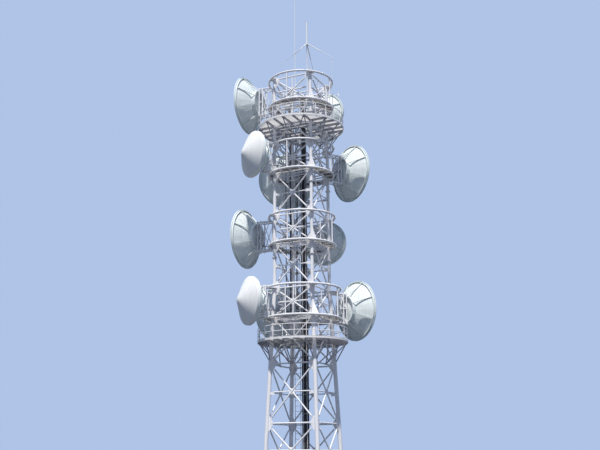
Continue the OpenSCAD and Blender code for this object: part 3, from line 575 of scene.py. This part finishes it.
for level in range(4):
    parts = []
    for n in [n for n in range(len(DISH_AZIMUTHS)) if DISH_LEVELS[n] == level]:
        vertex, side, out, rim, reflector, depth = dish_place(n)
        width, deep = LARGE_FRAME if n in LARGE_DISHES else SMALL_FRAME
        centre = vertex - out * (vertex @ out)
        ring = ring_radius(level)
        outer = vertex @ out - HUB_BACK - FRAME_R
        inner = outer - deep + 2 * FRAME_R
        half_w, half_h = width / 2 - FRAME_R, GALLERY / 2
        saddle = chord(ring + RING_TUBE_R, half_w - SADDLE_W / 2)
        hub = rim * HUB_SHARE
        stay_r = hub + STAY_SHARE * (reflector - hub)
        stay_out = STAY_SHARE * (depth - COLLAR_L / 2 + HUB_BACK) - HUB_BACK

        def spot(across, reach, height):
            """A point given across the mount, by its distance from the axis and its height above the middle."""
            return centre + side * across + out * reach + UP * height

        bars = []
        for x in (-half_w, half_w):
            bars += [(spot(x, y, -half_h - 2 * FRAME_R), spot(x, y, half_h + 2 * FRAME_R), FRAME_R)
                     for y in (inner, outer)]
            bars += [(spot(x, inner, z), spot(x, outer, z), FRAME_R * 0.8) for z in (-half_h, 0, half_h)]
            bars += [(spot(x, saddle, z), spot(x, inner, -z * 0.9), 0.024) for z in (-half_h, half_h)]
            for z in (-half_h, half_h):
                plate = spot(x, saddle + SADDLE_T / 2, z)
                bars += [(spot(x, saddle, z), spot(-x, inner, z), 0.022), (plate, spot(x, inner, z), FRAME_R * 0.9)]
                parts += block_mesh(plate, (SADDLE_W, SADDLE_T, 2 * RING_TUBE_R), side)
                for shift in (-0.045, 0.045):
                    loop = u_bolt_path(centre + side * (x + shift) + UP * z, out, saddle + 0.04,
                                       chord(ring, x + shift), -1)
                    parts += swept_mesh(loop, U_BOLT_R, 6)
                    parts += bolt_heads(loop[[0, -1]] - out * 0.016, out, NUT_R, NUT_H)
                strut_at = vertex + math.copysign(stay_r * math.cos(STAY_TURN), x) * side + out * stay_out
                strut_at = strut_at + math.copysign(stay_r * math.sin(STAY_TURN), z) * UP
                bars.append((spot(x, outer, z * 0.96), strut_at, STAY_R))
        bars += [(spot(-half_w, y, z), spot(half_w, y, z), FRAME_R * 0.8) for y in (inner, outer)
                 for z in (-half_h, 0, half_h)]
        bars += [(spot(-half_w, outer, z), spot(half_w, outer, z + half_h), FRAME_R * 0.7) for z in (-half_h, 0)]
        parts += tube_mesh(*zip(*bars))
    make_piece(f"dish_mount_frames_{level + 1}", parts, tower_paint, [f"dish_mounts_{level + 1}"])


# Leg fittings. Twelve galvanised bolts clamp each pair of leg flanges over a thin gasket. Four anchor bolts
# with washers and double nuts hold each base plate to its footing.
FLANGE_R, FLANGE_T, BOLT_CIRCLE, LEG_BOLTS, WASHER_T, WASHER_R = 0.175, 0.026, 0.143, 12, 0.004, 0.024
ANCHOR_OFFSET, BASE_T = 0.29, 0.04
# An anchor bolt, its washer and its two nuts: low end, high end, radius and sides.
ANCHOR_STACK = ((0, 0.13, 0.018, 12), (0, 0.008, 0.0378, 16), (0.008, 0.038, 0.0315, 6), (0.04, 0.06, 0.0315, 6))
leg_signs = np.array([(x, y, 0) for x in (-1, 1) for y in (-1, 1)])
flange_levels = np.array([BATTER_TOP, *(gallery_levels[1:] - PANEL * 0.3)])
flanges = (leg_signs[:, None] * TOP_HALF + flange_levels[:, None] * UP).reshape(-1, 3)
make_piece("flange_gaskets", collars(flanges, 0.002, FLANGE_R + 0.001, 48), jacket)
turn = around(LEG_BOLTS)
holes = (flanges[:, None] + rows_of(np.cos(turn), np.sin(turn)) * BOLT_CIRCLE).reshape(-1, 3)
parts = []
for way in (-UP, UP):
    face = holes + way * FLANGE_T
    parts += tube_mesh(face, face + way * WASHER_T, WASHER_R, 12)
    parts += bolt_heads(face + way * WASHER_T, way, BOLT_R, 0.018)
anchors = (leg_signs[:, None] * BASE_HALF + leg_signs * ANCHOR_OFFSET).reshape(-1, 3) + UP * BASE_T
for low, high, radius, sides in ANCHOR_STACK:
    parts += tube_mesh(anchors + UP * low, anchors + UP * high, radius, sides)
make_piece("leg_bolts", parts, zinc)


# Ring joints. Each ring is rolled pipe in segments, joined by pairs of flanges with six bolts. At every leg the
# ring lies against a plate at the end of a level shelf plate welded to the leg, held by two U-bolts. On the
# lower ring a pointed plate leans from it to the leg.
JOINT_R, JOINT_T, JOINT_BOLTS, JOINT_CIRCLE, MOUNT_HALF = 0.105, 0.014, 6, 0.0875, 0.27
SEAT_PLATE, U_BOLT_HALF = (0.19, 0.011, 0.15), 0.06
LEAN_HALF, LEAN_RISE, LEAN_TOP, LEAN_T = 0.26, 0.82, 0.03, 0.012
SHELF_FOOT, SHELF_END, SHELF_BACK, SHELF_T = 0.3, 0.24, 0.05, 0.016
for level in range(4):
    ring = ring_radius(level)
    saddles = [azimuth + side * math.degrees(MOUNT_HALF / ring) for azimuth, at in zip(DISH_AZIMUTHS, DISH_LEVELS)
               for side in (-1, 1) if at == level]
    parts = []
    for z in (gallery_levels[level], gallery_levels[level] + GALLERY):
        for azimuth in 22.5 + 45 * np.arange(8):
            if any(abs((azimuth - saddle + 180) % 360 - 180) < 4 for saddle in saddles):
                continue
            out, way = facing(azimuth)
            middle = out * ring + UP * z
            holes = middle + JOINT_CIRCLE * spokes(around(JOINT_BOLTS), out)
            for side in (-1, 1):
                parts += tube_mesh(middle + way * side * 0.001, middle + way * side * JOINT_T, JOINT_R, 24)
                parts += bolt_heads(holes + way * side * JOINT_T, way * side, 0.013, 0.011)
        for azimuth in 45 + 90 * np.arange(4):
            out, way = facing(azimuth)
            plate = ring - RING_TUBE_R - 0.006
            parts += block_mesh(out * plate + UP * z, SEAT_PLATE, way)
            leg_at = half_at(z) * math.sqrt(2) - SHELF_BACK
            outline = [(-SHELF_FOOT, leg_at), (SHELF_FOOT, leg_at), (SHELF_END, plate), (-SHELF_END, plate)]
            parts += plate_mesh(outline, SHELF_T, UP * z, way, out)
            if z == gallery_levels[level]:
                foot = out * (plate - 0.02) + UP * (z + 0.02)
                leg_face = half_at(z + LEAN_RISE) * math.sqrt(2) + (LEG_R if level else LOW_LEG_R) + 0.0005
                lean = out * leg_face + UP * (z + LEAN_RISE) - foot
                length = np.linalg.norm(lean)
                outline = [(-LEAN_HALF, 0), (LEAN_HALF, 0), (LEAN_TOP, length), (-LEAN_TOP, length)]
                parts += plate_mesh(outline, LEAN_T, foot, way, lean)
            for shift in (-U_BOLT_HALF, U_BOLT_HALF):
                parts += swept_mesh(u_bolt_path(way * shift + UP * z, out, plate - 0.03, ring, 1), U_BOLT_R, 6)
    make_piece(f"ring_joints_{level + 1}", parts, tower_paint)


# Gallery floors. Open galvanised grating: bearing bars on edge with cross rods through them, bands welded
# round the edges, lying on channel arms outside the faces and on channel joists inside them.
FLOOR_T, FLOOR_GAP, BAR_T, BAR_PITCH, ROD_PITCH = 0.03, 0.01, 0.006, 0.04, 0.1
JOIST_H, JOIST_W, JOIST_T, HATCH_HALF, ARM_X, WALL_GAP = 0.08, 0.06, 0.008, 0.4, 0.7, 0.42
MITRE_GAP, ROD_R, BAND_T = 0.03, 0.004, 0.006


def band_mesh(path, thickness, low, high):
    """A strip on edge along a level path: each point is the path's, plus or minus half the thickness square
    to it, at the low and the high height."""
    path = np.asarray(path, float)
    way = unit(np.gradient(path, axis=0))
    off = np.stack([way[:, 1], -way[:, 0]], axis=1) * thickness / 2
    ring = [(path + off, low), (path - off, low), (path - off, high), (path + off, high)]
    points = np.stack([rows_of(*flat.T, z) for flat, z in ring], axis=1).reshape(-1, 3)
    return [(points, bar_faces(len(path), 4))]


def channel_mesh(starts, ends, depth, width, thickness, top):
    """Level channels or, where their two flanges are centred, beams: a web and two flanges, given by the line
    under the top's middle, each a block from start to end."""
    starts, ends = np.atleast_2d(starts).astype(float), np.atleast_2d(ends).astype(float)
    middle, run = (starts + ends) / 2, ends - starts
    middle = middle * (1, 1, 0) + UP * top
    long = np.linalg.norm(run, axis=1)
    flange = rows_of(long, width, thickness)
    return (block_mesh(middle - UP * depth / 2, rows_of(long, thickness, depth - 2 * thickness), run)
            + block_mesh(middle - UP * thickness / 2, flange, run)
            + block_mesh(middle - UP * (depth - thickness / 2), flange, run))


def inner_joists(half, pipe_r, top):
    """Channels between two opposite faces: a pair beside the hatch and a pair nearer the other two faces."""
    rows = np.array([side * row for side in (-1, 1) for row in (HATCH_HALF + JOIST_W / 2, half - WALL_GAP - JOIST_W)])
    ends = rows_of(half - pipe_r - SEAT, rows)
    return channel_mesh(ends * (-1, 1, 1), ends, JOIST_H, JOIST_W, JOIST_T, top)


for level in range(4):
    z = gallery_levels[level]
    half = half_at(z)
    outer = ring_radius(level) - RING_TUBE_R - SEAT
    leg_gap = (LEG_R if level else LOW_LEG_R) + FLOOR_GAP
    inner = half + BAR_R + FLOOR_GAP
    low = z + BAR_R + SEAT
    high = low + FLOOR_T
    x = np.arange(-38, 39) * BAR_PITCH
    x = x[np.abs(x) < outer * math.sqrt(0.5) - MITRE_GAP]
    bulge = chord(leg_gap, np.abs(x) - half)
    begin = np.maximum(np.maximum(inner, np.abs(x) + MITRE_GAP), np.where(bulge > 0, half + bulge + BAND_T / 2, 0))
    end = chord(outer, x) - BAND_T
    keep = end - begin > 0.05
    x, begin, end = x[keep], begin[keep], end[keep]
    side_parts = block_mesh(rows_of(x, -(begin + end) / 2, (low + high) / 2), rows_of(end - begin, BAR_T, FLOOR_T),
                            (0, 1, 0))
    rods = np.arange(inner + 0.06, outer - 0.03, ROD_PITCH)
    reach = np.minimum(chord(outer, rods), rods - MITRE_GAP)
    clear = half - chord(leg_gap, rods - half)
    reach = np.where(np.abs(rods - half) < leg_gap, np.minimum(reach, clear), reach)
    side_parts += tube_mesh(rows_of(-reach, -rods, high - 0.005), rows_of(reach, -rods, high - 0.005), ROD_R, 6)
    arc = np.radians(np.linspace(-44.3, 44.3, 25))
    edge, sill = half - leg_gap, inner + BAND_T / 2
    first, last = half + leg_gap * math.sqrt(0.5) + 0.02, outer * math.sqrt(0.5) - 0.01
    bands = [np.stack([np.sin(arc), -np.cos(arc)], axis=1) * (outer - BAND_T / 2), [(-edge, -sill), (edge, -sill)]]
    bands += [[(side * (first - 0.022), -first), (side * (last - 0.022), -last)] for side in (-1, 1)]
    for band in bands:
        side_parts += band_mesh(band, BAND_T, low, high)
    make_piece(f"grating_walkway_{level + 1}", four_sides(side_parts), grating_zinc, [f"gallery_floor_{level + 1}"])
    arm_x = np.array([-ARM_X, 0, ARM_X])
    arm_end = chord(outer, np.abs(arm_x) + JOIST_W / 2)
    arms = channel_mesh(rows_of(arm_x, -half - BAR_R - SEAT), rows_of(arm_x, -arm_end), JOIST_H, JOIST_W, JOIST_T,
                        z + BAR_R)
    make_piece(f"walkway_arms_{level + 1}", four_sides(arms) + inner_joists(half, BAR_R, z + BAR_R), tower_paint)


# Platform frames. Rolled beams cantilever from the faces to a rim channel, and bolted knees rise to them from
# the legs and from a saddle plate at the middle of each face. The beams and knees have a darker grey than the pipes
# as painted shade for their shaded undersides; the rim stays white.
PLATFORMS = {"lower": WAIST + PANEL / 2, "upper": gallery_levels[2] + GALLERY + PANEL / 2}
PLATFORM_R, DECK_T, BEAM_H, BEAM_W, BEAM_T, BEAM_PITCH, RIM_H, RIM_T = 3.0, 0.04, 0.15, 0.06, 0.009, 0.7, 0.09, 0.008
KNEE_R, KNEE_PAD, FACE_SADDLE, CLEAT = 0.038, (0.22, 0.12, 0.011), (0.24, 0.016, 0.12), (0.16, 0.01, 0.12)
SMALL_BOLT_R = 0.0144
for name, z in PLATFORMS.items():
    top = z + STRUT_R - DECK_T / 2
    half = half_at(z)
    inner = half + BAR_R + 0.004
    rim_in = PLATFORM_R - BEAM_W
    node_z = z - PANEL / 2
    node_half = half_at(node_z)
    x = np.arange(-2, 3) * BEAM_PITCH
    tip = chord(PLATFORM_R - BEAM_W / 2, np.abs(x) + BEAM_W / 2)
    side_parts = channel_mesh(rows_of(x, -inner), rows_of(x, -tip), BEAM_H, BEAM_W, BEAM_T, top)
    saddle_y = -node_half - BAR_R - 2 * SEAT
    knees = []
    for step in (-2, 0, 2):
        far = np.array([step * BEAM_PITCH, -0.97 * chord(rim_in, step * BEAM_PITCH), top - BEAM_H * 2 / 3])
        starts = [np.array([0, saddle_y - 0.031, node_z])]
        if step:
            starts.append(np.array([math.copysign(node_half, step), -node_half, node_z + 2 * BAR_R]))
        for start in starts:
            share = (top - BEAM_H - 0.012 - start[2]) / (far[2] - start[2])
            knees.append((start, start + (far - start) * share))
    starts, ends = (np.array(column) for column in zip(*knees))
    side_parts += tube_mesh(starts, ends, KNEE_R)
    side_parts += block_mesh(ends + UP * KNEE_PAD[2] / 2, KNEE_PAD, (0, 1, 0))
    for corner in [(across, along, 0) for along in (-0.08, 0.08) for across in (-0.042, 0.042)]:
        side_parts += bolt_heads(ends + corner, -UP, SMALL_BOLT_R)
    side_parts += block_mesh((0, saddle_y - FACE_SADDLE[1] / 2, node_z), FACE_SADDLE)
    holes = np.array([(side * 0.1, saddle_y - FACE_SADDLE[1], node_z + lift) for side in (-1, 1)
                      for lift in (-0.04, 0.04)])
    side_parts += bolt_heads(holes, np.array([0, -1.0, 0]), SMALL_BOLT_R)
    side_parts += block_mesh(rows_of(x, -inner - 0.006, top - BEAM_H / 2), CLEAT)
    web_r, foot = PLATFORM_R - RIM_T, top - RIM_H
    rim = [(rim_in, top), (PLATFORM_R, top), (PLATFORM_R, foot), (rim_in, foot), (rim_in, foot + RIM_T),
           (web_r, foot + RIM_T), (web_r, top - RIM_T), (rim_in, top - RIM_T)]
    make_piece(f"{name}_platform_rim", hoop_mesh(rim), tower_paint)
    parts = four_sides(side_parts) + inner_joists(half, STRUT_R, top)
    make_piece(f"{name}_platform_steel", parts, platform_shade_paint, [f"{name}_platform_frame"])


# Handrails. Bent pipe rails, a top one and a middle one, on round posts with welded foot plates.
RAIL_H, RAIL_R, RAIL_IN, POSTS = 0.8, 0.024, 0.034, 24
# A post, its foot plate and its weld: low end, high end and radius.
POST_STACK = ((0, RAIL_H - RAIL_R, 0.021), (0, 0.01, 0.033), (0.01, 0.03, 0.022))
for name, z in PLATFORMS.items():
    foot = z + STRUT_R + DECK_T / 2 + 2 * SEAT
    r = PLATFORM_R - RAIL_IN
    turn = around(POSTS)
    feet = rows_of(np.sin(turn), -np.cos(turn)) * r + UP * foot
    parts = []
    for low, high, radius in POST_STACK:
        parts += tube_mesh(feet + UP * low, feet + UP * high, radius)
    for share in (0.5, 1):
        pipe = RAIL_R * np.stack([np.cos(around(12)), np.sin(around(12))], axis=1)
        parts += hoop_mesh(pipe + (r, foot + RAIL_H * share - RAIL_R))
    make_piece(f"{name}_pipe_rail", parts, tower_paint, [f"{name}_handrail"])


# Feeders. Waveguide with a black jacket leaves a horn at each hub, loops down to the gallery and over its
# floor, and goes down the tray with thinner cables beside it. Steel hangers clamp it every 1.25 m. Two steel
# conduits stand in front of the tray.
GUIDE_R, GUIDE_PITCH, TRAY_FRONT, TRAY_PITCH, BEND = 0.026, 0.058, 0.3695, 1.25, 0.3
FEEDER_H, FEEDER_STEP, CROSS_MIN, CROSS_MAX = 0.32, 0.06, 0.28, 0.75
FEED_HORN = ((0, -0.02), (0.16, -0.02), (0.16, 0.03), (0.07, 0.05), (0.07, 0.16), (0, 0.16))
COAX_R, COAX_FOOT, COAX_TOPS = 0.019, 0.02, (26.4, 21.6, 16.9, 11.7, 26.0, 21.2)
CONDUIT_R, CONDUIT_FOOT, CONDUIT_X = 0.024, 0.35, (-0.125, 0.145)


def bent_path(corners, bend, steps=7):
    """A route with rounded corners: near each corner, points of the curve (1-t)^2 a + 2t(1-t) corner + t^2 b,
    where a and b lie on the two legs at the bend's distance."""
    corners = np.asarray(corners, float)
    t = np.linspace(0, 1, steps)[:, None]
    path = [corners[:1]]
    for before, corner, after in zip(corners[:-2], corners[1:-1], corners[2:]):
        near = min(bend, np.linalg.norm(before - corner) * 0.45, np.linalg.norm(after - corner) * 0.45)
        a = corner + unit(before - corner) * near
        b = corner + unit(after - corner) * near
        path.append((1 - t) ** 2 * a + 2 * t * (1 - t) * corner + t ** 2 * b)
    return np.concatenate(path + [corners[-1:]])


parts, horns = [], []
for n in range(len(DISH_AZIMUTHS)):
    vertex, side, out, rim, reflector, depth = dish_place(n)
    z = gallery_levels[DISH_LEVELS[n]] + FEEDER_H + FEEDER_STEP * (n % 3)
    half = half_at(z)
    face = int(np.argmax(np.abs(out[:2])))
    outward, along = np.eye(3)[face] * math.copysign(1, out[face]), np.eye(3)[1 - face]
    cross = np.clip(out[1 - face] / abs(out[face]) * half, -CROSS_MAX, CROSS_MAX)
    cross = along * math.copysign(max(abs(cross), CROSS_MIN), cross if abs(cross) > 0.1 else 1)
    tray = np.array([(n % 6 - 2.5) * GUIDE_PITCH, TRAY_FRONT - 3 * GUIDE_R - 0.006, 0])
    hub = vertex - out * (HUB_BACK - 0.03)
    corners = [hub, hub - out * 0.22 + side * 0.06, (hub - out * 0.27 + side * 0.08) * (1, 1, 0) + UP * z,
               outward * (half + 0.45) + cross + UP * z, outward * (half - 0.35) + cross + UP * z,
               tray + UP * z, tray + UP * (z - 1.2)]
    parts += swept_mesh(bent_path(corners, BEND), GUIDE_R, 10)
    horns += lathe_mesh(FEED_HORN, vertex - out * HUB_BACK, side, UP, out, 24)
make_piece("dish_feeders", parts, jacket)
# The thinner dark cables beside and in front of the tray are partly real cables and partly painted shade: they widen
# the feeders' dark band to take in the shade round the bundle.
beside = 3 * GUIDE_PITCH + COAX_R * (1 + 2.15 * np.arange(2))
coax_x = np.concatenate([-beside, beside, np.linspace(-0.16, 0.16, 7)])
coax_y = np.where(np.arange(len(coax_x)) < 4, TRAY_FRONT - GUIDE_R, TRAY_FRONT + 0.055)
coax_top = np.resize(COAX_TOPS, len(coax_x))
parts = tube_mesh(rows_of(coax_x, coax_y, COAX_FOOT), rows_of(coax_x, coax_y, coax_top), COAX_R, 10)
make_piece("tray_cables_and_shade", parts, jacket)
levels = np.arange(TRAY_PITCH / 2, CROWN - 1.0, TRAY_PITCH) + 0.02
bars = rows_of(0, TRAY_FRONT - 2 * GUIDE_R - 0.004, levels)
parts = horns + block_mesh(bars, (6 * GUIDE_PITCH + 0.02, 0.005, 0.03))
ends = (bars[:, None] + np.array([(side * 3.05 * GUIDE_PITCH, GUIDE_R, 0) for side in (-1, 1)])).reshape(-1, 3)
parts += block_mesh(ends, (2 * GUIDE_R + 0.01, 0.006, 0.03), (0, 1, 0))
make_piece("feeder_hangers", parts, zinc)
conduit_y = TRAY_FRONT - 2 * GUIDE_R - 0.011 - CONDUIT_R
tops = rows_of(CONDUIT_X, conduit_y, (CROWN - 0.6, gallery_levels[2] + 0.4))
parts = tube_mesh(rows_of(CONDUIT_X, conduit_y, CONDUIT_FOOT), tops, CONDUIT_R)
clips = np.concatenate([rows_of(x, y, levels[levels < top]) for x, y, top in tops])
parts += collars(clips, 0.012, CONDUIT_R + 0.004)
parts += collars(clips + UP * 0.62, 0.04, CONDUIT_R + 0.005)
make_piece("steel_conduits", parts, zinc)


# Risers. Thick dark jacketed cables run between the galleries inside the left and the back face, close to the far
# leg, as painted shade that darkens that leg and its bars. They are clamped on flat brackets that are bolted to the
# level pipes.
RISER_R, RISER_IN, BRACKET_W, BRACKET_T = 0.03, 0.2, 0.04, 0.008
riser_at = TOP_HALF - RISER_IN
LEFT_RISERS, BACK_RISERS = (-0.05, 0.58, 0.68), (-1.0, -0.9)
feet = np.array([(-riser_at, y, 0) for y in LEFT_RISERS] + [(x, riser_at, 0) for x in BACK_RISERS])
outward = np.array([(-1.0, 0, 0)] * len(LEFT_RISERS) + [(0, 1.0, 0)] * len(BACK_RISERS))
riser_low, riser_high = gallery_levels[0] + 0.4, gallery_levels[3] + 0.5
# Painted shade: these dark cables stand near the far leg so that it reads as dark as the shade on it.
make_piece("shade_riser_cables", tube_mesh(feet + UP * riser_low, feet + UP * riser_high, RISER_R, 12), jacket)
parts = []
for z in [z for z in pipe_levels if BATTER_TOP <= z < CROWN]:
    seats = feet + outward * RISER_IN / 2 + UP * (z + BAR_R + BRACKET_T / 2)
    parts += block_mesh(seats, (RISER_IN, BRACKET_W, BRACKET_T), outward)
    parts += collars(feet + UP * (z + BAR_R + BRACKET_W / 2), BRACKET_W / 2, RISER_R + BRACKET_T, 12)
make_piece("riser_brackets", parts, zinc)


# Equipment boxes. Small painted steel cases with a lid lip and glands below, bolted to the inner joists, and
# a pair of short rods on an arm outside the top gallery.
CASE, LID, SKIRT, SKIRT_DROP = (0.4, 0.18, 0.5), (0.42, 0.016, 0.52), (0.3, 0.05, 0.14), 0.31
# Each case's gallery and its place across and along it.
CASES = ((0, 0.75, 0.52), (1, -0.15, -0.53), (1, 0.8, 0.52), (2, 0.7, -0.53), (3, 0.65, 0.52), (3, -0.75, -0.53))
SENSOR_AZIMUTH, SENSOR_OUT, SENSOR_UP = 115.5, 0.44, 1.12
cases = []
for level, x, y in CASES:
    way = math.copysign(1, -y)
    place = np.array([x, y + way * 0.02, gallery_levels[level] + 0.42])
    cases += block_mesh(place, CASE)
    cases += block_mesh(place + (0, way * (CASE[1] + LID[1]) / 2, 0), LID)
    cases += block_mesh(place - UP * SKIRT_DROP, SKIRT)
    glands = place + np.array([(step, 0.04 * way, -0.27) for step in (-0.1, 0, 0.1)])
    cases += tube_mesh(glands, glands + UP * 0.025, 0.018, 12)
make_piece("equipment_cases", cases, tower_paint)
out, side = facing(SENSOR_AZIMUTH)
base = out * RING_R + UP * gallery_levels[3]
arm = base + out * SENSOR_OUT + UP * SENSOR_UP
parts = tube_mesh([base + UP * RING_TUBE_R, base + UP * SENSOR_UP, arm - UP * 0.22, arm + side * 0.1 - UP * 0.18],
                  [base + UP * (SENSOR_UP + 0.08), arm + out * 0.03, arm + UP * 0.22, arm + side * 0.1 + UP * 0.16],
                  [0.024, 0.02, 0.03, 0.014])
parts += block_mesh(arm - UP * 0.02 + side * 0.05, (0.14, 0.1, 0.16), side)
parts += tube_mesh(base + UP * RING_TUBE_R, base + UP * (RING_TUBE_R + 0.015), 0.06)
make_piece("side_sensor", parts, antenna_metal)


# Top antennas. Turned aluminium: a thick radiator over a boss, four tapered radials in sockets, a mast with
# clamp straps, and a long whip of telescoped tubes with ferrules.
MAST_AZIMUTH, MAST_R, MAST_TUBE_R, MAST_RISE, RADIATOR, RADIATOR_R = 38, 2.11, 0.035, 2.1, 1.7, 0.058
RADIAL_REACH, RADIAL_DROP, RADIAL_TURN, STRAP_W = 1.88, 1.35, 10.5, 0.05
# A radial's socket, thick tube, thin tube, ferrule and tip: shares of its length, radii at both ends, sides.
RADIAL_TUBES = ((0.02, 0.09, 0.046, 0.046, 16), (0, 0.5, 0.034, 0.03, 16), (0.5, 1, 0.018, 0.012, 12),
                (0.48, 0.52, 0.036, 0.036, 16), (0.988, 1, 0.018, 0.018, 12))
out, side = facing(MAST_AZIMUTH)
foot = out * MAST_R + UP * (gallery_levels[3] + BAR_R + FLOOR_T + 2 * SEAT)
hub = out * MAST_R + UP * (CROWN + MAST_RISE)
parts = tube_mesh([foot, foot], [hub, foot + UP * 0.012], [MAST_TUBE_R, MAST_TUBE_R * 2], 20)
steps = np.array([[-0.06], [0.06], [0.1], [RADIATOR]])
parts += tube_mesh(hub + UP * steps[:-1], hub + UP * steps[1:], [0.085, 0.07, RADIATOR_R], 24)
parts += tube_mesh(hub + UP * (RADIATOR - 0.01), hub + UP * RADIATOR, RADIATOR_R + 0.004, 24)
for quarter in range(4):
    rod = facing(quarter * 90 + RADIAL_TURN)[0] * RADIAL_REACH - UP * RADIAL_DROP
    for start, end, first, last, sides in RADIAL_TUBES:
        parts += tube_mesh(hub + rod * start, hub + rod * end, first, sides, end_radii=last)
clamp = out * (RING_R - RING_TUBE_R) + UP * CROWN
clamp_l = RING_R - RING_TUBE_R - MAST_R
parts += block_mesh(clamp - out * clamp_l / 2, (clamp_l, STRAP_W, STRAP_W), out)
for z in (-0.018, 0.018):
    parts += collars(out * MAST_R + UP * (CROWN + z), 0.006, MAST_TUBE_R + 0.006, 20)
make_piece("radial_antenna", parts, antenna_metal, ["ground_plane_antenna"])

WHIP_IN, WHIP_OFF, WHIP_R, WHIP_DROP, WHIP_RISE = 0.2, 0.15, 0.03, 0.7, 9.0
STRAP_DROPS = (0, 0.336)
whip = np.array([WHIP_IN - TOP_HALF, TOP_HALF + WHIP_OFF, CROWN - WHIP_DROP])
steps = np.array([0, 2.0, 4.4, 6.6, 8.4, WHIP_DROP + WHIP_RISE])
radii = np.array([WHIP_R, 0.028, 0.025, 0.022, 0.019])
joints = whip + UP * steps[1:-1, None]
parts = tube_mesh(whip + UP * steps[:-1, None], whip + UP * steps[1:, None], radii)
parts += collars(joints, 0.03, radii[:-1] + 0.003)
for drop in STRAP_DROPS:
    strap = whip + UP * (WHIP_DROP - drop)
    parts += block_mesh(strap - (0, WHIP_OFF / 2 - 0.004, 0), (WHIP_OFF - 0.01, STRAP_W, STRAP_W), (0, 1, 0))
    parts += collars(strap, 0.02, WHIP_R + 0.006)
make_piece("long_whip_tubes", parts, antenna_metal, ["long_whip"])


# Obstacle lamp. A small glass dome on a painted base, clamped to the top ring beside the mast.
LAMP_AZIMUTH, STEM_R, STEM_H, PLINTH_R, PLINTH_TOP, DOME_R, DOME_H = 42, 0.03, 0.05, 0.055, 0.07, 0.045, 0.06
out, side = facing(LAMP_AZIMUTH)
seat_at = out * RING_R + UP * (CROWN + RING_TUBE_R)
parts = tube_mesh([seat_at - UP * 0.01, seat_at + UP * STEM_H], [seat_at + UP * STEM_H, seat_at + UP * PLINTH_TOP],
                  [STEM_R, PLINTH_R], 24)
make_piece("lamp_base", parts, tower_paint)
rise = np.linspace(0, math.pi / 2, 7)[:-1]
dome = (0, PLINTH_TOP + DOME_H) + DOME_R * np.stack([np.cos(rise), np.sin(rise)], axis=1)
profile = [(0, PLINTH_TOP), (DOME_R, PLINTH_TOP), *dome, (0, PLINTH_TOP + DOME_H + DOME_R)]
make_piece("lamp_glass", lathe_mesh(profile, seat_at, side, out, UP, 24), lamp_glass)
